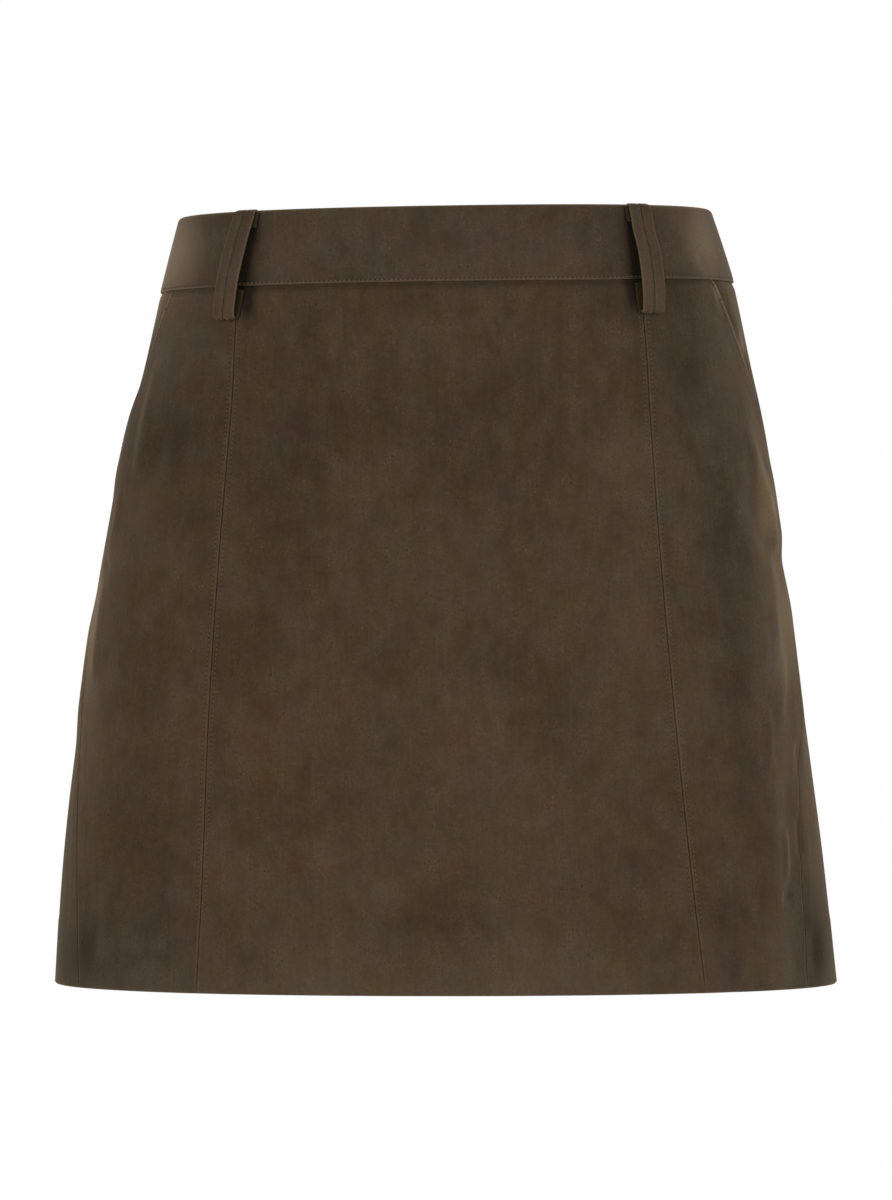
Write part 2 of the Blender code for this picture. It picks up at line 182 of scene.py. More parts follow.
# %% Rings of cloth
def outline(angle, z):
    """Point of the ring at an angle from the centre front, and its outward direction."""
    half_width = follow(SECTIONS, "half_width", z)
    drift = follow(SECTIONS, "drift", z)
    power = follow(SECTIONS, "squareness", z)
    across, ahead = np.sin(angle), np.cos(angle)
    depth = np.where(ahead > 0, follow(SECTIONS, "front_depth", z),
                     follow(SECTIONS, "back_depth", z))
    sum_of_powers = np.abs(ahead / depth) ** power + np.abs(across / half_width) ** power
    radius = sum_of_powers ** (-1 / power)
    x, y = radius * across, -radius * ahead
    out_x = np.sign(x) * np.abs(x / half_width) ** (power - 1) / half_width
    out_y = np.sign(y) * np.abs(y / depth) ** (power - 1) / depth
    length = np.hypot(out_x, out_y)
    return x + drift, y, out_x / length, out_y / length


RING_ANGLES = np.linspace(0, 2 * math.pi, 1441)
RING_SHARES = np.linspace(0, 1, 721)
RING_HEIGHTS = np.linspace(HEM, BAND_TOP, 193)
ring_x, ring_y, _, _ = outline(RING_ANGLES[None, :], RING_HEIGHTS[:, None])
steps = np.hypot(np.diff(ring_x, axis=1), np.diff(ring_y, axis=1))
walked = np.concatenate([np.zeros((len(RING_HEIGHTS), 1)), np.cumsum(steps, axis=1)], axis=1)
RING_GIRTHS = walked[:, -1]
ANGLE_TABLE = np.array([np.interp(RING_SHARES, row / row[-1], RING_ANGLES) for row in walked])


def girth(z):
    return np.interp(z, RING_HEIGHTS, RING_GIRTHS)


def half_girth(z):
    return girth(z) / 2


def angle_at(share, z):
    """The angle from the centre front at a share of the girth, between the table's places."""
    row = (np.clip(z, HEM, BAND_TOP) - HEM) / (BAND_TOP - HEM) * (len(RING_HEIGHTS) - 1)
    column = (share % 1) * (len(RING_SHARES) - 1)
    i = np.minimum(row.astype(int), len(RING_HEIGHTS) - 2)
    j = np.minimum(column.astype(int), len(RING_SHARES) - 2)
    down, on = row - i, column - j
    above = ANGLE_TABLE[i, j] * (1 - on) + ANGLE_TABLE[i, j + 1] * on
    below = ANGLE_TABLE[i + 1, j] * (1 - on) + ANGLE_TABLE[i + 1, j + 1] * on
    return above * (1 - down) + below * down


print("the girth is", round(float(girth(BAND_TOP))), "mm at the top and",
      round(float(girth(HEM))), "mm at the hem")

# %% [markdown]
# ## Folds and creases
#
# Brushed cloth hangs in broad, soft folds, with a few sharper creases where it has been
# sat on or packed.  A cloth simulation gives folds that are even all round and change with
# every setting, so these are listed one by one: each is a straight ridge (or a trough, with a
# negative height) that fades at both ends.  The first table is also in the solids.

# %% Tables of folds
def by_half(kind, front, back):
    """Rows with named columns, each with the half of the skirt that it lies on."""
    return [kind(half, *row) for half, rows in (("front", front), ("back", back)) for row in rows]


Fold = namedtuple("Fold", "half u_top z_top u_bottom z_bottom width height")
FOLDS = by_half(Fold, [
    (188, -104, 222, -158, 13, 2.4), (214, -150, 216, -262, 12, 2.2),
    (200, -236, 192, -345, 14, -2.2), (176, -268, 172, -330, 13, 2.0),
    (-176, -64, -206, -128, 14, 1.2), (-150, -84, -178, -150, 16, -2.2),
    (-222, -166, -228, -250, 13, 1.2), (-158, -268, -150, -352, 20, -2.6),
    (18, -150, -8, -200, 22, 1.4),
], [
    (118, -70, 176, -146, 16, -2.4), (-112, -66, -170, -138, 17, -2.2),
    (92, -196, 78, -352, 22, 2.6), (-104, -214, -96, -360, 20, 2.4),
    (10, -250, -6, -362, 24, -1.8),
])
CREASES = by_half(Fold, [
    (166, -82, 204, -158, 6, 1.9), (164, -118, 197, -160, 7, -1.3),
    (196, -148, 210, -170, 7, -1.2), (184, -118, 205, -157, 2.6, 0.8),
    (147, -20, 154, -37, 3.4, 0.7), (193, -164, 190, -246, 5, 1.1),
    (197, -198, 195, -224, 3, 0.7), (179, -226, 178, -260, 3, 0.7),
    (208, -242, 210, -264, 4, -0.9), (206, -278, 204, -304, 3, -1.0),
    (190, -284, 189, -314, 4, 1.2), (182, -321, 196, -320, 2.6, -1.3),
    (214, -334, 215, -362, 9, -1.3), (144, -334, 144, -374, 4.5, -1.1),
    (113, -334, 113, -348, 2.4, -0.5), (15, -318, 14, -370, 4, -0.6),
    (3, -304, 8, -318, 2.5, 0.5), (10, -302, 6, -316, 2.5, 0.4), (-14, -162, 14, -184, 4, 0.45),
    (-115, -224, -75, -284, 6, 0.6), (140, -4, 147, -15, 2.4, -0.7),
    (-160, -54, -172, -118, 5, 1.2), (-149, -82, -156, -114, 8, -1.1),
    (-187, -116, -194, -154, 4, 0.8), (-190, -160, -205, -153, 3.4, -1.5),
    (-196, -160, -200, -218, 5, 1.3), (-144, -290, -149, -334, 7, -0.7),
    (-187, -324, -192, -356, 6, -1.0),
], [
    (148, -132, 178, -196, 5, 1.2), (140, -142, 168, -204, 5, -0.9),
    (-148, -124, -180, -184, 5, 1.1), (-140, -132, -170, -192, 5, -0.8),
    (62, -312, 58, -372, 4, -0.7), (-46, -326, -50, -372, 4, -0.6),
    (-130, -250, -124, -316, 5, 0.7), (152, -268, 150, -330, 4, 0.8),
    (16, -40, 44, -66, 4, 0.5), (-15, -44, -40, -72, 4, 0.5),
])
FOLD_END = 0.3             # share of a fold's length over which it fades out
print(len(FOLDS), "folds and", len(CREASES), "creases")


# %% Height of the folds
def signed(u, z):
    """u between minus and plus half the girth."""
    half = half_girth(z)
    return (u + half) % (2 * half) - half


def from_middle_of(half, u, z):
    """u measured from the middle of the front or back half of the skirt."""
    return signed(u if half == "front" else u - half_girth(z), z)


def fold_height(table, u, z):
    """Height in mm of a table's folds over the plain cloth."""
    total = np.zeros(np.broadcast(u, z).shape)
    for fold in table:
        run_u, run_z = fold.u_bottom - fold.u_top, fold.z_bottom - fold.z_top
        length_squared = run_u ** 2 + run_z ** 2
        from_u, from_z = from_middle_of(fold.half, u, z) - fold.u_top, z - fold.z_top
        share = (from_u * run_u + from_z * run_z) / length_squared
        aside = (from_u * run_z - from_z * run_u) / math.sqrt(length_squared) / fold.width
        fade = ease(0, FOLD_END, share) * ease(0, FOLD_END, 1 - share)
        total += fold.height * fade * np.exp(-aside ** 2)
    return total


# %% [markdown]
# The cloth is darker or paler in soft patches, most of them the size of a palm.  Some are the
# nap's own uneven tone.  Many are painted light and shade: pale rims along the two sides and
# the band's ends, highlights on fold ridges, on the pocket's bearer and along the hem, and
# painted shade in troughs, over the upper front and low at the sides.  These too are placed
# one by one, one row for each patch, and they later steer the colour through a value stored
# at every point of the cloth.  They are strongest at the two sides, where the rims of light
# are painted.

# %% Patches of nap tone and painted light
Patch = namedtuple("Patch", "half u z across down shade")
NAP_AND_LIGHT_PATCHES = by_half(Patch, [
    (-145, -96, 15, 14, -1.7), (-124, -131, 10, 11, -0.9), (-147, -212, 9, 18, -0.9),
    (-150, -315, 9, 26, -1.2), (-196, -343, 10, 16, -1.4), (-176, -352, 9, 12, -0.8),
    (128, -64, 14, 15, -1.6), (130, -32, 10, 16, -1.1), (150, -136, 13, 26, -1.3),
    (152, -197, 13, 36, -1.3), (160, -255, 10, 20, -1.2), (210, -346, 15, 25, -4.0),
    (139, -327, 11, 9, -1.0), (-7, -330, 30, 8, -0.9), (5, -116, 12, 10, -0.6),
    (29, -205, 13, 9, -0.6), (-63, -39, 6, 18, -0.7), (-13, -28, 18, 9, -0.5),
    (-53, -86, 26, 9, -0.5), (97, -104, 17, 18, 1.2), (-61, -294, 10, 9, 1.2),
    (-20, -222, 9, 9, 1.0), (-34, -113, 18, 17, 0.6), (9, -299, 18, 12, 0.8),
    (32, -94, 9, 9, 0.9), (-35, -316, 11, 8, 0.7), (101, -189, 11, 14, 0.7),
    (-139, -151, 8, 8, 0.8), (-95, -252, 8, 20, 0.6), (184, -140, 8, 30, 0.6),
    (0, -78, 95, 50, -0.75), (5, -356, 110, 24, 0.4), (-172, 0, 10, 28, 2.2),
    (147, 0, 20, 26, 3.0), (206, -176, 20, 60, 2.3), (-212, -178, 16, 34, 4.8),
    (-204, -230, 12, 26, 1.2), (182, -349, 9, 20, 1.5), (238, -340, 18, 30, -3.4),
    (-180, -352, 9, 12, 0.8), (146, -356, 4, 16, -1.2), (-222, -320, 16, 56, -1.8),
    (182, -50, 6, 12, 3.5), (0, -366, 230, 12, 0.9), (183, -110, 11, 17, 2.0),
    (191, -131, 12, 15, 2.5), (154, -26, 4, 7, 1.4), (170, -218, 6, 30, 0.6),
    (208, -184, 15, 18, 1.0), (190, -208, 15, 13, 1.3), (193, -329, 6, 9, 1.2),
    (-224, -354, 18, 18, -2.3), (132, -98, 22, 36, -0.8), (-176, -345, 50, 22, -0.6),
    (224, -285, 14, 26, -1.0), (221, -344, 14, 24, -1.4), (181, -316, 8, 13, -1.3),
    (192, -68, 8, 26, -1.3), (-178, -32, 14, 15, 1.7), (-190, -77, 17, 17, -2.0),
    (-202, -352, 10, 14, -0.9), (-75, -165, 46, 60, -0.5), (-152, 0, 32, 28, 3.8),
], [
    (-150, -104, 14, 16, -1.2), (146, -128, 13, 26, -1.1), (66, -70, 12, 18, -0.8),
    (-92, -210, 12, 28, -1.0), (38, -186, 16, 12, -0.7), (176, -300, 12, 22, -1.1),
    (-30, -322, 26, 9, -0.9), (-168, -330, 10, 16, -0.9), (0, -366, 230, 12, 1.2),
    (96, -112, 16, 16, 1.0), (-52, -128, 16, 17, 0.7), (60, -272, 10, 10, 1.0),
    (-108, -298, 14, 12, 0.8), (-132, -168, 9, 12, 0.7), (22, -60, 10, 12, 0.6),
    (8, -84, 90, 46, -0.6), (-6, -354, 110, 24, 0.7),
])
# Where the cloth has been handled the nap is also greyer, and least so in the lap
GREYED = by_half(Patch, [
    (142, -70, 34, 70, 1.0), (150, -170, 34, 60, 0.6), (196, -230, 24, 90, 0.7),
    (200, -344, 34, 30, 1.0), (-150, -44, 30, 36, 0.7), (-176, -350, 44, 26, 1.2),
    (0, -362, 200, 16, 0.7), (0, 0, 230, 17, 0.3), (-95, -225, 50, 80, -0.5),
], [
    (-142, -90, 34, 80, 0.8), (150, -60, 34, 50, 0.7), (0, -362, 230, 16, 0.7),
    (60, -220, 50, 80, -0.4),
])
# Painted shadow on the cloth under and beside each belt loop, where the loop keeps the light off
PAINTED_SHADOW_UNDER_LOOPS = by_half(Patch, [
    (98, 8, 5.5, 13, -4.5), (100, -14, 6.0, 18, -4.5), (-92, 10, 5.5, 13, -4.5),
    (-97, -14, 6.0, 18, -4.5), (97.5, -27, 4.0, 9, -3.6), (-96, -27, 4.0, 9, -3.6),
], [
    (70, -4, 6.0, 24, -4.0), (-70, -4, 6.0, 24, -4.0),
])
print(len(NAP_AND_LIGHT_PATCHES), "patches of the nap,", len(GREYED), "greyed areas")


def patches_at(patches, u, z):
    """The sum of a table's patches at a place on the cloth."""
    total = np.zeros(np.broadcast(u, z).shape)
    for patch in patches:
        aside = (from_middle_of(patch.half, u, z) - patch.u) / patch.across
        down = (z - patch.z) / patch.down
        total += patch.shade * np.exp(-aside ** 2 - down ** 2)
    return total


def nap_tone_and_painted_light(u, z):
    """How much paler (or darker, below 0) a place on the cloth is: nap tone, painted light and
    painted shade.
    """
    return patches_at(NAP_AND_LIGHT_PATCHES + PAINTED_SHADOW_UNDER_LOOPS, u, z)


# %% [markdown]
# Between the folds no cloth is perfectly smooth.  A slow noise pushes the surface in and out
# by a few tenths of a millimetre.  It is read at a place on the cloth, with a fixed seed in
# its third coordinate, so every run gives the same skirt.

# %% Slow waves of the cloth
Wave = namedtuple("Wave", "across down height seed")
WAVES = table_of(Wave, (46, 90, 0.5, 3.7), (17, 36, 0.16, 8.1))
BAND_CALM = 0.35           # share of the waves that the stiff band keeps


def wave_height(u, z):
    """Height in mm of the slow waves, which are longer down the cloth than across it."""
    total = np.zeros(len(u))
    for wave in WAVES:
        total += wave.height * np.array([
            noise.noise((a, b, wave.seed)) for a, b in zip(u / wave.across, z / wave.down)])
    return total


# %% [markdown]
# Everything is placed through one function.  It finds the ring's point for a place on the
# cloth, and moves it outwards by the folds and by the piece's own height over the cloth.

# %% The cloth's surface
def slipped(u, z):
    """Where the cloth at u lies round the ring, in mm from the ring's own front."""
    share = np.abs(signed(u, z)) / half_girth(z)
    front, sides = follow(SLIPS, "front", z), follow(SLIPS, "sides", z)
    return u + np.where(share < 0.5, front + (sides - front) * ease(0.25, 0.5, share),
                        sides * (1 - ease(0.5, 1, share)))


def surface(u, z, lift, calm=False):
    """Places in metres of the points (u, z) of the cloth, lifted off it by lift in mm.

    Calm places are on the plain ring, without its folds and waves.
    """
    u, z, lift = (value.ravel() for value in np.broadcast_arrays(
        *(np.asarray(value, float) for value in (u, z, lift))))
    level = np.minimum(z, BAND_TOP)
    x, y, out_x, out_y = outline(angle_at(slipped(u, level) / girth(level), level), level)
    away = lift
    if not calm:
        below_band = ease(0, 14, WAIST_SEAM - z)
        away = (lift + fold_height(FOLDS, u, level) + fold_height(CREASES, u, level)
                + wave_height(u, z) * (BAND_CALM + (1 - BAND_CALM) * below_band))
    x, y = x + out_x * away, y + out_y * away
    raised = (LEAN * x * (level - HEM) / (BAND_TOP - HEM)
              + SEAM_RISE * ease(60, 130, x) * hill(level, WAIST_SEAM, 12))
    return np.stack([x, y, z + raised], axis=1) * MM


print("centre front of the hem:", surface(0, HEM, 0).round(4).tolist()[0])

# %% [markdown]
# ## Finishes
#
# A finish is a small graph of nodes.  To keep the sums readable, one class wraps a socket,
# and adding or multiplying two values adds the Math node for it.  Every other node comes
# from one method: its type, its settings and what goes into its sockets.

# %% A value in a finish
class Value:
    """A socket that can be added, subtracted and multiplied."""

    def __init__(self, finish, socket):
        self.finish = finish
        self.socket = socket

    def math(self, operation, first, second):
        return self.finish.node("ShaderNodeMath", {"operation": operation}, [first, second])

    def __add__(self, other):
        return self.math("ADD", self, other)

    def __mul__(self, other):
        return self.math("MULTIPLY", self, other)

    def __sub__(self, other):
        return self.math("SUBTRACT", self, other)

    def __rsub__(self, other):
        return self.math("SUBTRACT", other, self)

    __radd__ = __add__
    __rmul__ = __mul__


# %% A finish and its nodes
class Finish:
    """A material with a Principled shader; settings are the same all over its surface."""

    def __init__(self, name, **settings):
        self.material = bpy.data.materials.new(name)
        self.material.use_nodes = True
        self.tree = self.material.node_tree
        self.shader = self.tree.nodes["Principled BSDF"]
        self.feed(**settings)

    def plug(self, socket, value):
        """Link a value of the graph to a socket, or set a plain number or colour in it."""
        if isinstance(value, Value):
            self.tree.links.new(value.socket, socket)
        else:
            socket.default_value = value

    def node(self, kind, settings=None, inputs=(), output=0):
        """Add a node, give it its settings and then its inputs, and return one output."""
        made = self.tree.nodes.new(kind)
        for name, value in (settings or {}).items():
            setattr(made, name, value)
        pairs = inputs.items() if isinstance(inputs, dict) else enumerate(inputs)
        for name, value in pairs:
            self.plug(made.inputs[name], value)
        return Value(self, made.outputs[output])

    def place(self, scale, shift=(0, 0, 0), source="UV"):
        """Where on the cloth a point is, in metres times scale."""
        where = self.node("ShaderNodeTexCoord", output=source)
        return self.node("ShaderNodeMapping", {}, {
            "Vector": where, "Scale": scale, "Location": shift})

    def noise(self, scale, shift=(0, 0, 0), detail=3.0, roughness=0.5, source="UV"):
        """Noise from about 0 to 1, with its size set by scale along and up the cloth."""
        return self.node("ShaderNodeTexNoise", {}, {
            "Vector": self.place(scale, shift, source), "Scale": 1.0,
            "Detail": detail, "Roughness": roughness})

    def stored(self, name):
        """A value that is stored at every point of the cloth."""
        return self.node("ShaderNodeAttribute", {"attribute_name": name}, output="Fac")

    def bump(self, height, strength, distance):
        """A fine relief; its full height is distance in metres."""
        return self.node("ShaderNodeBump", {}, {
            "Strength": strength, "Distance": distance, "Height": height})

    def between(self, value, low, high):
        """Stretch a value so that low becomes 0 and high becomes 1, held inside that."""
        return self.node("ShaderNodeMapRange", {"clamp": True}, {
            "Value": value, "From Min": low, "From Max": high})

    def mix(self, share, first, second):
        """A colour between two colours."""
        made = self.tree.nodes.new("ShaderNodeMix")
        made.data_type = "RGBA"
        sockets = [socket for socket in made.inputs if socket.type == "RGBA"]
        for socket, value in zip((made.inputs["Factor"], *sockets), (share, first, second)):
            self.plug(socket, value)
        return Value(self, next(out for out in made.outputs if out.type == "RGBA"))

    def feed(self, **sockets):
        """Feed the shader's sockets, named with underscores for spaces."""
        for name, value in sockets.items():
            self.plug(self.shader.inputs[name.replace("_", " ")], value)


def brown(red, green, blue):
    """A colour in linear light, from the screen values 0 to 255 that a maker reads off."""
    channels = [value / 255 for value in (red, green, blue)]
    return (*(c / 12.92 if c <= 0.04045 else ((c + 0.055) / 1.055) ** 2.4 for c in channels), 1)


print("a mid brown in linear light:", [round(value, 4) for value in brown(71, 58, 44)])


# %% [markdown]
# Suede-look cloth is brushed until its surface is a very short, dense nap.  Its colour is
# soft and cloudy, because the nap lies in different directions from hand to hand, and it is
# finely streaked along the length.  It has almost no shine, but the tips of the nap catch
# light that comes along the surface.  That is what the shader's sheen is for.

# %% The suede-look finish
def suede(name, deep, dark, light, pale, seed):
    finish = Finish(name, Sheen_Weight=0.3, Sheen_Roughness=0.4,
                    Sheen_Tint=brown(214, 190, 156), Specular_IOR_Level=0.1)

    def grain(across, down, shift, detail, roughness):
        """Noise with so many marks a metre across and down the cloth."""
        return finish.noise((across, down, 1), (seed, shift, 0), detail, roughness)

    clouds = grain(18, 13, 0, 5.0, 0.6)
    blotches = grain(95, 66, 3, 4.0, 0.65)
    streaks = grain(430, 40, 5, 3.0, 0.6)
    scars = grain(560, 440, 7, 4.0, 0.7)
    flecks = grain(950, 720, 9, 3.0, 0.65)
    warmth = grain(84, 66, 11, 5.0, 0.7)
    richness = grain(52, 42, 13, 5.0, 0.7)
    shade, grey, wear_and_highlight = (finish.stored(kind) for kind in ("shade", "greyness", "wear_and_highlight"))
    # The lie of the nap and the stored shade, which is nap tone with painted light and
    # painted shade, set how dark it is, and its hue and strength wander a little
    nap = clouds * 0.34 + blotches * 0.3 + streaks * 0.12 + scars * 0.24
    colour = finish.node("ShaderNodeHueSaturation", {}, {
        "Hue": finish.between(warmth, 0.3, 0.7) * -0.04 + 0.523 + grey * 0.006,
        "Saturation": finish.between(richness, 0.3, 0.7) * 0.3 + 0.84 - grey * 0.13,
        "Color": finish.mix(finish.between(nap, 0.36, 0.64) + shade * 0.24, dark, light)})
    # Strong painted shade turns the colour deep, and strong painted light turns it pale
    colour = finish.mix(finish.between(0 - shade, 2.0, 5.0), colour, deep)
    colour = finish.mix(finish.between(shade, 1.5, 4.5), colour, pale)
    # Pits and curls of the nap, most of them where it is rubbed, and the worn edges with their
    # painted highlights
    rubbed = finish.between(blotches, 0.42, 0.62)
    pits = finish.between(1 - flecks, 0.59, 0.67) * (rubbed * 0.6 + 0.15)
    curls = finish.between(flecks, 0.6, 0.68) * (rubbed * 0.3 + 0.04)
    colour = finish.mix(curls, finish.mix(pits, colour, deep), pale)
    colour = finish.mix(wear_and_highlight * (finish.between(scars, 0.3, 0.7) * 0.5 + 0.45), colour, pale)
    relief = scars * 0.5 + flecks * 0.3 + streaks * 0.2
    finish.feed(Base_Color=colour, Roughness=scars * 0.16 + 0.82,
                Normal=finish.bump(relief, 0.8, 0.0006))
    return finish.material


SUEDE = suede("brown_suede", brown(34, 26, 17), brown(60, 47, 34), brown(86, 69, 52),
              brown(122, 103, 80), 0.0)
BAND_SUEDE = suede("waistband_suede", brown(35, 27, 19), brown(60, 48, 36),
                   brown(85, 69, 54), brown(126, 108, 86), 2.0)
print("finishes so far:", SUEDE.name, BAND_SUEDE.name)


# %% [markdown]
# The wrong side of the cloth is the plain knitted base that the nap is brushed on.  It is
# flatter and greyer, with a fine even grain.  It shows only inside the skirt.  The sewing
# thread is a shade paler than the nap, and a needle hole is a flat dark mark of painted
# shade, where the hole's dimple would be in shadow.

# %% The cloth's wrong side
def wrong_side(name):
    finish = Finish(name, Specular_IOR_Level=0.2, Sheen_Weight=0.1)
    rows = finish.noise((1300, 700, 1), detail=1.0)
    clouds = finish.noise((30, 24, 1), detail=2.0)
    share = finish.between(rows * 0.7 + clouds * 0.3, 0.3, 0.7)
    finish.feed(Base_Color=finish.mix(share, brown(62, 52, 42), brown(84, 72, 59)),
                Roughness=rows * 0.1 + 0.85, Normal=finish.bump(rows, 0.4, 0.0002))
    return finish.material


WRONG_SIDE = wrong_side("suede_wrong_side")
print("the inside is", WRONG_SIDE.name)


# %% Thread and needle holes
def strand(name, grain, dark, light, rough, rougher, **settings):
    """A finish for thread or nylon, a little uneven in tone and roughness."""
    finish = Finish(name, **settings)
    tone = finish.noise((grain, grain, grain), source="Object", detail=1.0)
    finish.feed(Base_Color=finish.mix(tone, dark, light), Roughness=tone * rougher + rough)
    return finish.material


def thread(name, dark, light):
    return strand(name, 2600, dark, light, 0.6, 0.2, Specular_IOR_Level=0.3, Sheen_Weight=0.1)


THREAD = thread("brown_thread", brown(66, 52, 37), brown(106, 86, 63))
NEEDLE_HOLE_SHADE = thread("needle_hole_shade", brown(26, 18, 11), brown(38, 28, 18))
print("sewn with", THREAD.name, "through", NEEDLE_HOLE_SHADE.name)

# %% [markdown]
# ## Cutting a panel
#
# A real panel is a flat cut piece with seams along its edges.  Here it is a grid whose rows
# follow the height and whose columns follow the panel's own seams.  Columns crowd together
# beside a seam, because that is where the shape changes: the edge rolls in, the allowance
# behind it makes a low ridge, and the topstitching pulls a fine groove.  A table gives that
# profile once for every seam.

# %% The profile beside a seam
CLOTH = 0.9                # thickness of one layer of cloth
STITCH_INSET = 2.3         # of a topstitch row from its seam
ALLOWANCE = 9.5            # width of a seam allowance
GRID_SPACING = 2.0         # of a grid's rows and columns where nothing happens
INNER_SPACING = 4.0        # of rows that show only inside
Beside = namedtuple("Beside", "distance roll puff groove")
BESIDE_SEAM = table_of(
    Beside,
    (0.0, -0.8, 0.0, 0.0), (0.1, -0.38, 0.0, 0.0), (0.24, -0.14, 0.0, 0.0),
    (0.45, -0.04, 0.08, 0.0), (0.8, 0.0, 0.16, 0.0), (1.4, 0.0, 0.2, 0.0),
    (2.0, 0.0, 0.2, -0.03), (2.3, 0.0, 0.2, -0.1), (2.6, 0.0, 0.2, -0.03),
    (3.2, 0.0, 0.2, 0.0), (4.6, 0.0, 0.2, 0.0), (6.4, 0.0, 0.19, 0.0),
    (8.2, 0.0, 0.17, 0.0), (9.6, 0.0, 0.08, 0.0), (11.2, 0.0, 0.0, 0.0))
SEAM_REACH = BESIDE_SEAM[-1].distance
NEAR_SEAM = [row for row in BESIDE_SEAM if row.distance < 5]       # for the smaller pieces

# A line that columns follow: its u at each height, and how strong the roll, the ridge and
# the groove beside it are there
Line = namedtuple("Line", "u_at roll puff groove")


def steady(strength):
    """The same strength at every height."""
    return lambda z: np.full_like(z, strength)


none, weak, full, strong = (steady(strength) for strength in (0.0, 0.7, 1.0, 1.8))
print(len(BESIDE_SEAM), "columns beside each seam, the last", SEAM_REACH, "mm away")

# %% Columns between two or more lines
ROW_SAMPLE = np.linspace(HEM, WAIST_SEAM, 12)


def column_layout(lines):
    """Each column as its line, the way from it and its row of the profile, or a share."""
    columns = []
    for k, (first, second) in enumerate(zip(lines, lines[1:])):
        widths = second.u_at(ROW_SAMPLE) - first.u_at(ROW_SAMPLE)
        room = float(np.max(np.abs(widths))) - 2 * SEAM_REACH
        count = max(2, round(room / GRID_SPACING))
        columns += [(k, 1, row) for row in BESIDE_SEAM]
        columns += [(k, step / count, None) for step in range(1, count)]
        columns += [(k + 1, -1, row) for row in reversed(BESIDE_SEAM)]
    return columns


def column_places(lines, z):
    """u, roll, puff and groove of every point of a grid, for its rows' heights z."""
    hand = 1.0 if lines[-1].u_at(ROW_SAMPLE)[0] > lines[0].u_at(ROW_SAMPLE)[0] else -1.0
    at = [line.u_at(z) for line in lines]
    columns = column_layout(lines)
    u, roll, puff, groove = np.zeros((4, len(z), len(columns)))
    for c, (k, part, row) in enumerate(columns):
        if row is None:
            start, end = at[k] + hand * SEAM_REACH, at[k + 1] - hand * SEAM_REACH
            u[:, c] = start + (end - start) * part
        else:
            u[:, c] = at[k] + hand * part * row.distance
            roll[:, c] = row.roll * lines[k].roll(z)
            puff[:, c] = row.puff * lines[k].puff(z)
            groove[:, c] = row.groove * lines[k].groove(z)
    return u, roll, puff, groove


# %% [markdown]
# The rows run from the tuck behind the waistband down to the hem, round the hem's fold and
# up the inside again, so the turned-up hem is one piece with its panel.  Each row has a
# height, a lift and the way its nap faces, which turns right over at the fold.

# %% Rows of a panel
Row = namedtuple("Row", "z lift turn")
TUCK_ROWS = table_of(
    Row,
    (-9.0, -0.6, 0.0), (-14.0, -0.6, 0.0), (-17.6, -0.58, 0.0), (-18.6, -0.8, 0.0),
    (-19.3, -0.7, 0.0), (-20.2, -0.4, 0.0), (-21.4, -0.12, 0.0), (-23.0, 0.0, 0.0))
HEM_RADIUS = 1.05          # of the fold along the hem, to the nap side


def even(top, bottom, spacing):
    """Even steps from top to bottom, both ends left out."""
    count = max(1, round(abs(top - bottom) / spacing))
    return [top + (bottom - top) * step / count for step in range(1, count)]


def arc(z, lift, radius, turns):
    """Rows round a fold; a turn is the angle that the nap has turned from facing outwards."""
    return [Row(z - radius * math.sin(turn), lift + radius * math.cos(turn), turn)
            for turn in turns]


def panel_rows():
    fold_top = HEM + HEM_RADIUS
    down = [Row(z, 0.0, 0.0) for z in even(TUCK_ROWS[-1].z, fold_top, GRID_SPACING)]
    fold = arc(fold_top, -HEM_RADIUS, HEM_RADIUS, [math.pi * step / 6 for step in range(7)])
    inside = [Row(z, -2 * HEM_RADIUS, math.pi)
              for z in even(fold_top, TURN_UP, INNER_SPACING) + [TURN_UP]]
    return TUCK_ROWS + down + fold + inside


PANEL_ROWS = panel_rows()
print(len(PANEL_ROWS), "rows from the waist to the top of the turned-up hem")


# %% Meshes from grids
def lay_grid(shape, u, z, lift, facing=1, probe=(0, 0), middle=0.0, wear_and_highlight=0.0, shade=0.0):
    """Add a grid to shape with its points at (u, z, lift).

    facing is 1 where the nap of the row and column in probe looks outwards, -1 if inwards.
    Returns each point's place on the flat cloth, measured from the line middle, how worn
    its nap is or how much painted highlight it gets, its shade of nap tone and painted light,
    and how grey it is.
    """
    rows, columns = u.shape
    made = bmesh.ops.create_grid(shape, x_segments=columns - 1, y_segments=rows - 1, size=0.5)
    vertices = made["verts"]
    column = [round((vertex.co.x + 0.5) * (columns - 1)) for vertex in vertices]
    row = [round((0.5 - vertex.co.y) * (rows - 1)) for vertex in vertices]
    z, lift, wear_and_highlight = (np.broadcast_to(value, u.shape) for value in (z, lift, wear_and_highlight))
    places = surface(*(value[row, column] for value in (u, z, lift)))
    for vertex, place in zip(vertices, places):
        vertex.co = place
    r, c = probe
    if (u[r, c + 1] - u[r, c]) * (z[r, c] - z[r + 1, c]) * facing < 0:
        faces = list({face for vertex in vertices for face in vertex.link_faces})
        bmesh.ops.reverse_faces(shape, faces=faces)
    values = (u - middle, z, wear_and_highlight, nap_tone_and_painted_light(u, z) + shade, patches_at(GREYED, u, z))
    return np.stack([value[row, column] for value in values], axis=1)


PATTERN_SHIFT = 1.37       # each piece is cut from its own part of the cloth


def new_object(name, shape, finishes):
    """Make a finished shape an object at the origin."""
    mesh = bpy.data.meshes.new(name)
    shape.to_mesh(mesh)
    shape.free()
    for finish in finishes:
        mesh.materials.append(finish)
    return add_object(name, mesh)


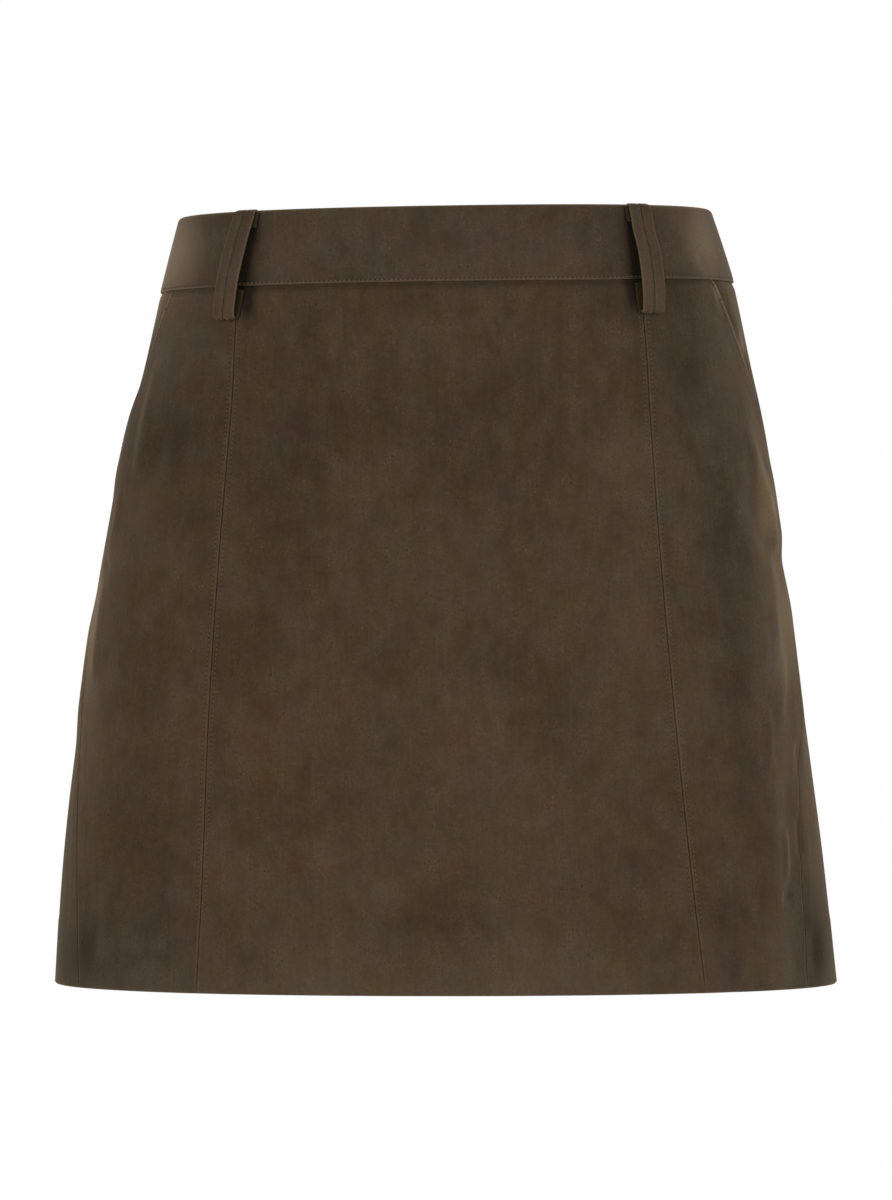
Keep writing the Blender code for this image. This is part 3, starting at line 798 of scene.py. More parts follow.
def finish_piece(name, shape, flat, finishes, seed=0):
    """Make a shape an object, with its place on the flat cloth as its UV map in metres."""
    piece = new_object(name, shape, finishes)
    mesh = piece.data
    if flat is not None:
        corners = np.empty(len(mesh.loops), int)
        mesh.loops.foreach_get("vertex_index", corners)
        layer = mesh.uv_layers.new(name="cloth")
        layer.data.foreach_set(
            "uv", (flat[corners, :2] * MM + seed * PATTERN_SHIFT).ravel())
        for column, name_of_value in ((2, "wear_and_highlight"), (3, "shade"), (4, "greyness")):
            values = mesh.attributes.new(name_of_value, "FLOAT", "POINT")
            values.data.foreach_set("value", np.ascontiguousarray(flat[:, column], np.float32))
    mesh.shade_smooth()
    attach(piece, SKIRT_BODY)
    return piece


def cloth_piece(node, shape, flat, finishes, seed, wall=CLOTH):
    """Put a sheet of cloth in place of a node, thickened behind its nap side.

    Its wrong side and its cut edges get the second finish.
    """
    piece = finish_piece(node + "_cloth", shape, flat, finishes, seed)
    thick = piece.modifiers.new("wall", "SOLIDIFY")
    thick.thickness = wall * MM
    thick.offset = -1.0
    thick.material_offset = 1
    thick.material_offset_rim = 1
    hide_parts(node)
    return piece


# %% [markdown]
# ## The panels
#
# The front has three panels and the back two.  On each one the seam allowances are strips
# of the same cloth, pressed open behind the seam, so no light gets through between two
# panels and the inside looks sewn.

# %% Cut one panel
SEAM_WEAR_AT = 0.7         # from the seam, and this is its width
SEAM_WEAR_WIDTH = 0.4
PUFF_ON_HEM = 0.3          # share of the ridge beside a seam that is left on the turned-up hem
# A painted highlight along a pocket's mouth edge, and painted shadow in the tuck under the band's
# lip
MOUTH_HIGHLIGHT, TUCK_SHADE = 3.0, -1.8
GAPE_REACH = 7             # the cloth beside an open pocket mouth stands off as far as this
MOUTH_WEAR_AND_HIGHLIGHT = 1.8           # width of the worn nap and the painted highlight along a pocket mouth
EDGE_WEAR = 0.25           # how worn the hem's fold and the seams' edges are
TUCK_SHADOW = -20.3        # height where the panel turns in under the band
TURN_UP_STEP = 0.22        # the turned-up hem presses the panel out by this
ALLOWANCE_COLUMNS = np.array([0.05, 0.6, 1.5, 4.0, 6.5, 9.0, ALLOWANCE])
ALLOWANCE_LIFT = -2 * CLOTH - 0.35


def panel(node, lines, seed, grain_line, gape=none):
    """Lay out and thicken one panel between its seam lines.

    grain_line(z) is the u that the cloth's own grain runs along, and gape(z) lifts the last
    edge where it is a pocket's mouth.
    """
    heights, base, turn = np.array(PANEL_ROWS).T
    z, base, turn = heights[:, None], base[:, None], turn[:, None]
    u, roll, puff, groove = column_places(lines, heights)
    outside = np.cos(turn) > 0.99
    above_hem, away_from_fold = ease(-3, 3, z - TURN_UP), ease(0.5, 8, z - HEM)
    ridge = PUFF_ON_HEM + (1 - PUFF_ON_HEM) * above_hem
    raised = roll * away_from_fold + puff * ridge + groove * above_hem
    pressed = TURN_UP_STEP * (1 - ease(-1.2, 1.2, z - TURN_UP))
    from_edge = np.abs(u[:, -1:] - u)
    gaping = gape(z) * hill(from_edge, 0, GAPE_REACH)
    lift = base + raised * outside + pressed * outside + gaping
    # Worn nap and a painted highlight along a pocket's mouth edge
    at_mouth = hill(from_edge, 0, MOUTH_WEAR_AND_HIGHLIGHT) * (gape(z) > 0)
    at_hem = EDGE_WEAR * hill(turn, math.pi / 2, 0.8)
    from_seam = np.minimum(from_edge, np.abs(u - u[:, :1]))
    at_seam = EDGE_WEAR * hill(from_seam, SEAM_WEAR_AT, SEAM_WEAR_WIDTH)
    wear_and_highlight = np.maximum(np.maximum(at_mouth, at_hem), at_seam)
    # Painted shadow in the tuck just under the band's lip
    in_tuck = hill(z, TUCK_SHADOW, 1.4) * outside
    shape = bmesh.new()
    flat = [lay_grid(shape, u, z, lift, middle=grain_line(z), wear_and_highlight=wear_and_highlight,
                     shade=MOUTH_HIGHLIGHT * at_mouth + TUCK_SHADE * in_tuck)]
    strip_z = np.array(even(WAIST_SEAM, TURN_UP, INNER_SPACING))[:, None]
    hand = np.sign(u[0, -1] - u[0, 0])
    for line, inwards in ((lines[0], hand), (lines[-1], -hand)):
        strip_u = line.u_at(strip_z) + inwards * ALLOWANCE_COLUMNS
        flat.append(lay_grid(shape, strip_u, strip_z, ALLOWANCE_LIFT, facing=-1))
    piece = cloth_piece(node, shape, np.concatenate(flat), (SUEDE, WRONG_SIDE),
                        seed)
    widths = np.abs(u[:, -1] - u[:, 0])


POCKET_TOP = 153.0         # pocket mouth at the waist seam, from the centre front
POCKET_END = -102.0        # height where the mouth runs into the side seam


def pocket_mouth(z):
    """The pocket's slanted edge, from the waist seam to the side seam."""
    drop = np.clip((WAIST_SEAM - z) / (WAIST_SEAM - POCKET_END), 0, 1)
    return POCKET_TOP + (side(POCKET_END) - POCKET_TOP) * drop


def side_panel_edge(z):
    return np.where(z > POCKET_END, pocket_mouth(z), side(z))


def above_pocket_end(z):
    return ease(-4, 4, z - POCKET_END)


def mouth_gape(z):
    """How far in mm the pocket's mouth stands open, most in its middle."""
    return 0.5 * ease(0, 22, WAIST_SEAM - z) * ease(0, 24, z - POCKET_END)


# %% The front panels
panel("front_panel", [
    Line(lambda z: -princess(z), full, full, full), Line(princess, full, full, full)], 1, none)
for hand, sign, seed, pulled in (("left", 1, 2, weak), ("right", -1, 3, strong)):
    panel(f"front_side_panel_{hand}", [
        Line(lambda z: sign * princess(z), full, full, full),
        Line(lambda z: sign * side_panel_edge(z), pulled, full, above_pocket_end)],
        seed, lambda z: sign * princess(z), mouth_gape)

# %% [markdown]
# Each back panel is shaped by one waist dart, a fold of cloth sewn away to nothing.  On the
# right side only its line shows, running down from the band and fading out.

# %% The back panels
DART_END = -112.0
DART_FROM_BACK = 78.0


def dart(strength):
    """A strength that fades out towards the dart's end."""
    return lambda z: strength * ease(0, 30, z - DART_END)


for hand, sign, seed, pulled in (("left", 1, 4, weak), ("right", -1, 5, strong)):
    panel(f"back_panel_{hand}", [
        Line(lambda z: sign * side(z), pulled, full, none),
        Line(lambda z: sign * (half_girth(z) - DART_FROM_BACK), dart(0.45), dart(0.5), none),
        Line(lambda z: sign * half_girth(z), full, full, none)],
        seed, lambda z: sign * half_girth(z))

# %% [markdown]
# A slanted pocket is an opening between the side panel's folded edge and a piece of the same
# cloth behind it, the bearer.  The bearer lies deeper than the panel, so the mouth reads as
# a real opening, and comes up to the surface where it is sewn into the side seam.

# %% The pocket bearers
BEARER_UNDERLAP = 25.0
BEARER_DEPTH = 2.5
BEARER_RAMP = 9.0
BEARER_SINK = 11.0
SHADOW_WIDTH = 2.4         # of the dark strip on the bearer beside the mouth
SHADOW = -3.0


def pocket_bearer(hand, sign, seed):
    rows = [row for row in PANEL_ROWS[:len(PANEL_ROWS) // 2]
            if row.z > POCKET_END - BEARER_UNDERLAP]
    z, base, _ = np.array(rows).T[:, :, None]
    edge, seam = side_panel_edge(z), side(z)
    start = edge - BEARER_UNDERLAP
    width = seam - start
    inner = np.linspace(0, 1, 16)[:-1]
    near = np.array([row.distance for row in reversed(NEAR_SEAM)])
    roll = np.concatenate([0 * inner, [row.roll for row in reversed(NEAR_SEAM)]])
    u = np.concatenate([start + inner * (width - near[0]), seam - near], axis=1)
    hidden = 1 - ease(POCKET_END + BEARER_SINK, POCKET_END + 3 * BEARER_SINK, z)
    depth = np.maximum(1 - ease(0.5, BEARER_RAMP, u - edge), hidden)
    lift = base * (1 - depth) - BEARER_DEPTH * depth + roll * (1 - hidden)
    from_mouth = np.clip(u - edge, 0, None)
    shape = bmesh.new()
    flat = lay_grid(shape, sign * u, z, lift, probe=(9, 2), middle=sign * seam,
                    shade=SHADOW * hill(from_mouth, 0, SHADOW_WIDTH))
    piece = cloth_piece(f"pocket_bearer_{hand}", shape, flat, (SUEDE, WRONG_SIDE),
                        seed)
    cut = (float(width.max()) + ALLOWANCE, float(z[0, 0] - z[-1, 0]))
    print(piece.name, "cut", [round(value) for value in cut], "mm")


pocket_bearer("left", 1, 6)
pocket_bearer("right", -1, 7)

# %% [markdown]
# ## The waistband
#
# The band is one strip folded over at its top.  Its outer edge is turned under and edge
# stitched to the panels, which leaves a small lip with a shadow below it.  The rows follow
# the strip's own section: the turned-in edge, the lip, the outer face, the fold over the top
# and the face inside.

# %% The band's section
BAND_OUT = 0.55            # its outer face, over the panels
BAND_IN = -3.0             # its inner face
BAND_MIDDLE = (BAND_OUT + BAND_IN) / 2
BAND_HALF = (BAND_OUT - BAND_IN) / 2
BAND_FOOT = -20.5          # the end of its inner face
LIP_RADIUS = 0.8
LIP_Z = -18.0
LIP_BOTTOM = LIP_Z - LIP_RADIUS
EDGE_STITCH_Z = LIP_BOTTOM + 1.25
OVER_LIP = [-17.7, -17.3, -16.9, -16.4, -15.8, -14.8]      # close rows round the stitching


def band_rows():
    lip_middle = BAND_OUT - LIP_RADIUS
    top = BAND_TOP - BAND_HALF
    turned_in = [Row(z, lip_middle - LIP_RADIUS, math.pi) for z in (-10.0, -14.0)]
    lip = arc(LIP_Z, lip_middle, LIP_RADIUS, [math.pi * (1 - step / 6) for step in range(7)])
    face = [Row(z, BAND_OUT, 0.0) for z in OVER_LIP + even(OVER_LIP[-1], top, 1.9)]
    over_top = arc(top, BAND_MIDDLE, BAND_HALF, [-math.pi * step / 8 for step in range(9)])
    inside = [Row(z, BAND_IN, -math.pi)
              for z in even(top, BAND_FOOT, INNER_SPACING) + [BAND_FOOT]]
    return turned_in + lip + face + over_top + inside


BAND_ROWS = band_rows()
BAND_FACE = next(i for i, row in enumerate(BAND_ROWS) if row.z > 0)
print(len(BAND_ROWS), "rows round the band's section")


# %% Sew the band
STITCH_GROOVE = 0.28       # depth of the groove under the edge stitching
# Painted highlights on the band's lip and along its fold over the top
LIP_HIGHLIGHT = 0.4
TOP_HIGHLIGHT = 0.7
BAND_PUFF = 0.5            # share of the ridge beside a seam that the stiff band shows


def band(node, start, end, grain_line, closed_end, seed):
    """One piece of the band from start(z) to end(z); a closed end comes together."""
    z, base, turn = np.array(BAND_ROWS).T[:, :, None]
    near = np.array([row.distance for row in NEAR_SEAM])
    roll = np.array([row.roll + row.puff * BAND_PUFF for row in NEAR_SEAM])
    u_start, u_end = start(z), end(z)
    hand = np.sign(u_end[0, 0] - u_start[0, 0])
    length = float(np.abs(u_end - u_start).max())
    share = np.array(even(0, 1, GRID_SPACING / (length - 2 * near[-1])))
    first, last = u_start + hand * near, u_end - hand * near[::-1]
    between = first[:, -1:] + (last[:, :1] - first[:, -1:]) * share
    u = np.concatenate([first, between, last], axis=1)
    offset = np.concatenate([roll, 0 * share, 0 * roll if closed_end else roll[::-1]])
    stitched = hill(z, EDGE_STITCH_Z, 0.45) * (np.cos(turn) > 0.9)
    offset = offset - STITCH_GROOVE * stitched
    lift, height = base + offset * np.cos(turn), z - offset * np.sin(turn)
    if closed_end:
        from_end = np.clip(np.abs(u_end - u) / BAND_HALF, 0.0, 1.0)
        lift = BAND_MIDDLE + (lift - BAND_MIDDLE) * np.sqrt(1 - (1 - from_end) ** 2)
    # Painted highlight lines on the lip and the top fold, stored with the wear
    wear_and_highlight = LIP_HIGHLIGHT * hill(z, LIP_BOTTOM + 0.45, 0.5) + TOP_HIGHLIGHT * hill(z, BAND_TOP, 0.9)
    shape = bmesh.new()
    flat = lay_grid(shape, u, height, lift, probe=(BAND_FACE, 20), middle=grain_line(z),
                    wear_and_highlight=wear_and_highlight * (np.cos(turn) > -0.3),
                    shade=-nap_tone_and_painted_light(u, height) * (np.cos(turn) < 0))
    piece = cloth_piece(node, shape, flat, (BAND_SUEDE, WRONG_SIDE), seed)


ZIP_SLIT = 2.0
band("waistband_front", lambda z: -side(z), side, none, False, 8)
for hand, sign, seed in (("left", 1, 9), ("right", -1, 10)):
    band(f"waistband_back_{hand}", lambda z: sign * side(z),
         lambda z: sign * (half_girth(z) - ZIP_SLIT / 2), lambda z: sign * half_girth(z),
         True, seed)

# %% [markdown]
# ## Belt loops
#
# A loop is a narrow strip folded to three layers and stitched down its middle.  It is tucked
# under at both ends: at the top edge of the band and a little below the waist seam.  Between
# them it bows out to let a belt through.  A closed section is carried along the loop's path.

# %% The loop's path and section
PathPoint = namedtuple("PathPoint", "z lift")
LOOP_TOP = table_of(
    PathPoint, (10.0, 1.75), (14.5, 1.75), (17.0, 1.9), (18.1, 2.6), (17.5, 3.45))
LOOP_FOOT = table_of(
    PathPoint, (-33.9, 3.6), (-34.6, 2.6), (-34.0, 1.5), (-31.0, 1.0), (-25.0, 1.0),
    (-20.8, 1.15))
LOOP_BOWS = {
    ("front", "right"): table_of(
        PathPoint, (13.0, 4.1), (7.0, 5.2), (0.0, 6.0), (-8.0, 6.5), (-16.0, 6.5),
        (-24.0, 5.8), (-30.5, 4.7)),
    ("front", "left"): table_of(
        PathPoint, (13.5, 3.7), (9.0, 3.9), (4.5, 4.3), (-0.5, 5.6), (-8.0, 6.7),
        (-17.0, 6.8), (-25.0, 6.0), (-30.5, 4.8)),
    ("back", "left"): table_of(
        PathPoint, (13.0, 4.2), (6.0, 5.6), (-2.0, 6.4), (-11.0, 6.6), (-20.0, 6.1),
        (-29.0, 4.8)),
    ("back", "right"): table_of(
        PathPoint, (13.0, 4.0), (6.0, 5.0), (-2.0, 6.0), (-12.0, 6.8), (-21.0, 6.3),
        (-29.5, 4.8)),
}
SectionPoint = namedtuple("SectionPoint", "aside out")
HALF_SECTION = table_of(
    SectionPoint, (0.0, 0.12), (0.16, 0.5), (0.45, 0.84), (2.2, 0.84), (4.2, 0.84),
    (5.3, 0.78), (5.75, 0.55), (5.95, 0.05), (5.75, -0.5), (5.2, -0.74), (2.4, -0.8),
    (0.0, -0.8))
LOOP_SECTION = HALF_SECTION + [SectionPoint(-point.aside, point.out)
                               for point in reversed(HALF_SECTION[:-1])]
LOOP_FACE = 0.84           # of its outer face, over the path
LOOP_SPACING = 0.9
TUCK_ASIDE = 1.2           # the tucked ends lie this much nearer the middle of their side
TUCKED = (1.9, 3.4)        # between these heights over the cloth a loop comes out of its tuck


def unit(vectors):
    return vectors / np.linalg.norm(vectors, axis=1, keepdims=True)


def walk(points):
    """How far along a line of points each of them lies."""
    return np.concatenate([[0], np.cumsum(np.linalg.norm(np.diff(points, axis=0), axis=1))])


def smooth_path(points, spacing):
    """A smooth curve through the points, and its outward direction at each place."""
    points = np.array(points, float)
    before, after = 2 * points[:1] - points[1:2], 2 * points[-1:] - points[-2:-1]
    ends = np.concatenate([before, points, after])
    path = []
    for a, b, c, d in zip(ends, ends[1:], ends[2:], ends[3:]):
        for t in np.linspace(0, 1, max(2, round(np.linalg.norm(c - b) / spacing) + 1))[:-1]:
            path.append(0.5 * (2 * b + (c - a) * t + (2 * a - 5 * b + 4 * c - d) * t ** 2
                               + (3 * b - a - 3 * c + d) * t ** 3))
    path = np.array(path + [points[-1]])
    along = unit(np.gradient(path, axis=0))
    return path, np.stack([along[:, 1], -along[:, 0]], axis=1)


def loop_path(place, hand):
    return smooth_path(LOOP_TOP + LOOP_BOWS[place, hand] + LOOP_FOOT, LOOP_SPACING)


print(len(loop_path("front", "left")[0]), "places along a loop,", len(LOOP_SECTION),
      "round its section")

# %% Where the loops are
# The middle line of each loop at the top of the band and at the waist seam, from the centre
# of its side; it spreads with the band's girth in between and runs on below.
LoopLine = namedtuple("LoopLine", "at_top at_seam")
LOOP_LINES = {
    ("front", "left"): LoopLine(102.0, 105.5),
    ("front", "right"): LoopLine(95.0, 103.9),
    ("back", "left"): LoopLine(72.5, 78.0),
    ("back", "right"): LoopLine(72.5, 78.0),
}


def loop_middle(place, hand, z):
    """u of a loop's middle line."""
    line = LOOP_LINES[place, hand]
    sign = 1 if hand == "left" else -1
    z = np.minimum(z, BAND_TOP)
    down = (BAND_TOP - z) / (BAND_TOP - WAIST_SEAM)
    from_centre = line.at_top + (line.at_seam - line.at_top) * down
    return sign * (from_centre if place == "front" else half_girth(z) - from_centre)


def loop_places(place, hand, asides, outs):
    """u, z and lift at places across the loop, for every place along its path."""
    path, out = loop_path(place, hand)
    along_z, over_cloth = path[:, :1], path[:, 1:]
    inwards = -1 if (place == "front") == (hand == "left") else 1
    aside = inwards * TUCK_ASIDE * (1 - ease(*TUCKED, over_cloth))
    return (loop_middle(place, hand, along_z) + aside + asides,
            along_z + out[:, :1] * outs, over_cloth + out[:, 1:] * outs)


print("loops at", [(*place, line.at_top) for place, line in LOOP_LINES.items()])


# %% Sew the loops
TUCK_TOP = 2.7             # a loop is in its tuck where its path lies lower than this,
LOOP_BEND = 17             # below the height where it bends over the band's top
SECTION_BACK = -0.3        # its section is underneath behind this
SECTION_EDGE = 5.4         # and its nap is worn outside this
# Painted shade on the tucked ends and on the loop's underside, where the loop keeps the light off;
# the shown faces are a little paler
TUCKED_SHADE = -3.2
UNDERNEATH_SHADE = -4.5
SHOWN_SHADE = 0.8
LOOP_WEAR = 0.45


def loop_wear_and_shade(path_z, over_cloth, aside, out):
    """How worn a loop's nap is, and its painted shade, at a place of its path and section."""
    if over_cloth < TUCK_TOP and path_z < LOOP_BEND:
        return 0.0, TUCKED_SHADE
    if out < SECTION_BACK:
        return 0.0, UNDERNEATH_SHADE
    return LOOP_WEAR if abs(aside) > SECTION_EDGE else 0.0, SHOWN_SHADE


def belt_loop(place, hand, seed):
    section = np.array(LOOP_SECTION)
    u, z, lift = loop_places(place, hand, section[:, 0], section[:, 1])
    shape = bmesh.new()
    lay_grid(shape, u, z, lift)
    layer = shape.loops.layers.uv.new("cloth")
    wear_and_highlight = shape.verts.layers.float.new("wear_and_highlight")
    shade = shape.verts.layers.float.new("shade")
    rows, columns = u.shape
    path = loop_path(place, hand)[0]
    across, down = walk(section), walk(path)

    def spot(vertex):
        """The row and column of a vertex; the grid's first vertex is in the last row."""
        return rows - 1 - vertex.index // columns, vertex.index % columns

    shape.verts.ensure_lookup_table()
    for vertex in shape.verts:
        row, column = spot(vertex)
        vertex[wear_and_highlight], vertex[shade] = loop_wear_and_shade(*path[row], *section[column])
    for face in shape.faces:
        for corner in face.loops:
            row, column = spot(corner.vert)
            corner[layer].uv = (across[column] * MM + seed * PATTERN_SHIFT, down[row] * MM)
    bmesh.ops.remove_doubles(shape, verts=shape.verts, dist=0.01 * MM)
    bmesh.ops.holes_fill(shape, edges=shape.edges)
    bmesh.ops.recalc_face_normals(shape, faces=shape.faces)
    if shape.calc_volume(signed=True) < 0:
        bmesh.ops.reverse_faces(shape, faces=shape.faces)
    piece = finish_piece(f"belt_loop_{place}_{hand}_cloth", shape, None, (BAND_SUEDE,))
    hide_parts(f"belt_loop_{place}_{hand}")
    print(piece.name, len(piece.data.polygons), "faces")


for seed, (place, hand) in enumerate(LOOP_LINES, start=11):
    belt_loop(place, hand, seed)

# %% [markdown]
# ## Stitching
#
# Each stitch that shows is one short, fat thread lying in its groove.  There are over a
# thousand of them, so each is a sphere of few faces, stretched and turned into place, and
# all the stitches of one kind are one object.

# %% Places along a line of the cloth
def row_places(u, z, lift, pitch, start=0.5):
    """Middles along a line on the cloth, a pitch apart, with directions along and outwards."""
    points = surface(u, z, lift)
    raised = surface(u, z, np.asarray(lift) + 1.0)
    walked = walk(points)
    centres = np.arange(start * pitch, walked[-1] / MM - 0.3 * pitch, pitch) * MM

    def read(line, where):
        return np.stack([np.interp(where, walked, line[:, axis]) for axis in range(3)], axis=1)

    middle = read(points, centres)
    along = read(points, centres + 0.4 * MM) - read(points, centres - 0.4 * MM)
    return middle, along, read(raised, centres) - middle


# %% Beads laid on the cloth
bead = bmesh.new()
bmesh.ops.create_uvsphere(bead, u_segments=6, v_segments=4, radius=1)
bmesh.ops.rotate(bead, verts=bead.verts, cent=(0, 0, 0),
                 matrix=Matrix.Rotation(math.pi / 2, 3, "Y"))
BEAD_POINTS = np.array([vertex.co for vertex in bead.verts])
BEAD_FACES = [[vertex.index for vertex in face.verts] for face in bead.faces]
bead.free()
print("one bead has", len(BEAD_FACES), "faces")


def beads(middle, along, outwards, size):
    """Corner points of one stretched sphere at each place; size is along, across and out."""
    along = unit(along)
    across = unit(np.cross(outwards, along))
    outwards = np.cross(along, across)
    offsets = BEAD_POINTS * size / 2 * MM
    return (middle[:, None] + offsets[None, :, :1] * along[:, None]
            + offsets[None, :, 1:2] * across[:, None]
            + offsets[None, :, 2:] * outwards[:, None]).reshape(-1, 3)


def beaded_piece(name, groups):
    """One object from groups of beads, each its corner points and its finish."""
    counts = [len(points) // len(BEAD_POINTS) for points, _ in groups]
    faces = [[corner + k * len(BEAD_POINTS) for corner in face]
             for k in range(sum(counts)) for face in BEAD_FACES]
    mesh = bpy.data.meshes.new(name)
    mesh.from_pydata(np.concatenate([points for points, _ in groups]).tolist(), [], faces)
    finish_of_face = np.repeat(np.arange(len(groups)), np.array(counts) * len(BEAD_FACES))
    mesh.polygons.foreach_set("material_index", finish_of_face.astype(np.int32))
    shape = bmesh.new()
    shape.from_mesh(mesh)
    bpy.data.meshes.remove(mesh)
    finish_piece(name, shape, None, [finish for _, finish in groups])
    print(name, counts, "beads")


# %% Rows of stitches
STITCH_PITCH = 2.3
STITCH_SIZE = (1.5, 0.52, 0.42)          # along, across and out of the cloth
HOLE_SIZE = (0.85, 0.85, 0.16)


def stitched_piece(name, rows, holes=True):
    """One object of stitches, and the needle holes between them, along rows of places."""
    # The needle holes are flat dark beads of painted shade
    kinds = [(STITCH_SIZE, 0.5, THREAD)] + [(HOLE_SIZE, 0.0, NEEDLE_HOLE_SHADE)] * holes
    beaded_piece(name, [
        (np.concatenate([beads(*row_places(*row, STITCH_PITCH, start), size) for row in rows]),
         finish) for size, start, finish in kinds])


# %% Stitch the seams
seam_z = np.linspace(LOOP_FOOT[1].z + 0.6, TURN_UP + 2, 300)
stitched_piece("front_seam_stitches", [
    (sign * princess(seam_z) + side_of * STITCH_INSET, seam_z, 0 * seam_z + 0.1)
    for sign in (1, -1) for side_of in (1, -1)])

# The pocket's stitching ends at the top in a bar tack, a few stitches across it
MOUTH_INSET = 3.6
mouth_z = np.linspace(WAIST_SEAM - 1.0, POCKET_END + 4, 120)
mouth_lift = mouth_gape(mouth_z) * hill(MOUTH_INSET, 0, GAPE_REACH) + 0.24
tack_z = np.linspace(WAIST_SEAM - 9.0, WAIST_SEAM - 11.0, 20)
tack_in = np.linspace(0.8, 6.4, 20)
rows = []
for sign in (1, -1):
    rows.append((sign * (pocket_mouth(mouth_z) - MOUTH_INSET), mouth_z, mouth_lift))
    for drop in (0.0, 0.7):
        rows.append((sign * (pocket_mouth(tack_z) - tack_in), tack_z - drop,
                     0 * tack_z + 0.42))
stitched_piece("pocket_mouth_stitches", rows)

band_u = np.linspace(-1, 1, 1200) * (float(half_girth(WAIST_SEAM)) - ZIP_SLIT)
stitched_piece("waistband_edge_stitches", [
    (band_u, 0 * band_u + EDGE_STITCH_Z, 0 * band_u + BAND_OUT - 0.2)])

# %% Stitch the loops
STITCH_ASIDE = -2.0        # of a loop's stitch row from its middle line
STITCHED_OVER = 3.6        # only where the loop stands this high over the cloth

rows = []
for place, hand in LOOP_LINES:
    u, z, lift = loop_places(place, hand, STITCH_ASIDE, LOOP_FACE)
    shown = (lift[:, 0] > STITCHED_OVER) & (z[:, 0] < LOOP_BEND)
    rows.append((u[shown, 0], z[shown, 0], lift[shown, 0]))
stitched_piece("belt_loop_stitches", rows, holes=False)

# %% [markdown]
# ## The zip
#
# The skirt opens at the centre back with a concealed zip: from outside only the seam, the
# slider's arch and its pull tab show, in the slit between the band's two ends.  Inside lie
# two woven tapes, edged by a coil that is sewn along each of them.

# %% Zip finishes
def zip_tape_finish():
    finish = Finish("zip_tape_weave", Specular_IOR_Level=0.25, Sheen_Weight=0.1)

    def waves(direction, scale, distortion):
        return finish.node("ShaderNodeTexWave", {"bands_direction": direction}, {
            "Vector": finish.place((1, 1, 1)), "Scale": scale, "Distortion": distortion})

    weave = waves("Y", 320.0, 0.4) * 0.6 + waves("X", 260.0, 0.3) * 0.4
    finish.feed(Base_Color=finish.mix(weave, brown(38, 30, 22), brown(62, 50, 38)),
                Roughness=weave * 0.1 + 0.8, Normal=finish.bump(weave, 0.6, 0.0002))
    return finish.material


def zip_metal_finish():
    finish = Finish("antique_zip_metal", Metallic=1.0)
    wear = finish.noise((260, 260, 260), source="Object", detail=5.0, roughness=0.65)
    scratches = finish.noise((3000, 700, 300), source="Object", detail=2.0)
    share = finish.between(wear, 0.35, 0.7)
    finish.feed(Base_Color=finish.mix(share, brown(96, 84, 68), brown(160, 144, 118)),
                Roughness=(1 - share) * 0.22 + scratches * 0.12 + 0.24,
                Normal=finish.bump(scratches, 0.25, 0.00008))
    return finish.material


ZIP_TAPE = zip_tape_finish()
ZIP_METAL = zip_metal_finish()
ZIP_COIL = strand("zip_coil_nylon", 900, brown(44, 35, 26), brown(60, 49, 37), 0.35, 0.15,
                  Specular_IOR_Level=0.5)
print("zip finishes:", ZIP_TAPE.name, ZIP_METAL.name, ZIP_COIL.name)

# %% The zip's tapes
ZIP_TAPE_TOP = 15.5
ZIP_TAPE_BOTTOM = -165.0
TAPE_LIFT = -2.5
TAPE_HALF_WIDTH = 12
TAPE_WALL = 0.6
SLIDER_ROOM = 3.7          # the tapes part this far round the slider
SLIDER_HEIGHT = 11.5


def behind_band(z):
    """How much deeper the zip lies behind the band than behind the panels, in mm."""
    return 0.95 * ease(-24, -17, z)


tape_z = np.linspace(ZIP_TAPE_TOP, ZIP_TAPE_BOTTOM, 72)[:, None]
inner_edge = 0.25 + SLIDER_ROOM * ease(SLIDER_HEIGHT - 9, SLIDER_HEIGHT - 4, tape_z)
from_middle = inner_edge + (TAPE_HALF_WIDTH - inner_edge) * np.linspace(0, 1, 8)
tape = bmesh.new()
tape_flat = [lay_grid(tape, half_girth(tape_z) + sign * from_middle, tape_z,
                      TAPE_LIFT - behind_band(tape_z)) for sign in (1, -1)]
zip_tape = cloth_piece("zip_tape", tape, np.concatenate(tape_flat), (ZIP_TAPE, ZIP_TAPE),
                       15, TAPE_WALL)
print(zip_tape.name, len(zip_tape.data.vertices), "vertices")

# %% The zip's coil
COIL_PITCH = 1.3
COIL_SIZE = (2.6, 0.75, 1.5)
COIL_LIFT = -4.0
COIL_ASIDE = 0.75
COIL_SLANT = 0.12          # each turn of the coil leans along the zip by this share

coil_z = np.linspace(SLIDER_HEIGHT - 6, ZIP_TAPE_BOTTOM + 4, 140)
coil_points = []
for sign in (1, -1):
    middle, along, outwards = row_places(
        half_girth(coil_z) + sign * COIL_ASIDE, coil_z + sign * COIL_PITCH / 4,
        COIL_LIFT - behind_band(coil_z), COIL_PITCH)
    turns = unit(np.cross(outwards, along)) + COIL_SLANT * sign * unit(along)
    coil_points.append(beads(middle, turns, outwards, COIL_SIZE))
beaded_piece("zip_coil", [(np.concatenate(coil_points), ZIP_COIL)])


# %% A frame for the metal
def zip_frame():
    """A frame on the band's outer face: x along the band, y outwards and z up the zip."""
    heights = np.array([SLIDER_HEIGHT, SLIDER_HEIGHT + 3, SLIDER_HEIGHT - 3])
    middle, above, below = (Vector(point) for point in surface(
        half_girth(heights), heights, 0.6, calm=True))
    upward = Vector((0, above.y - below.y, above.z - below.z)).normalized()
    outward = upward.cross(Vector((1, 0, 0)))
    turn = Matrix((Vector((1, 0, 0)), outward, upward)).transposed().to_4x4()
    return Matrix.Translation(middle) @ turn @ Matrix.Diagonal((MM, MM, MM, 1))


ZIP_FRAME = zip_frame()
print("the slider's frame is at", [round(value, 4) for value in ZIP_FRAME.translation])


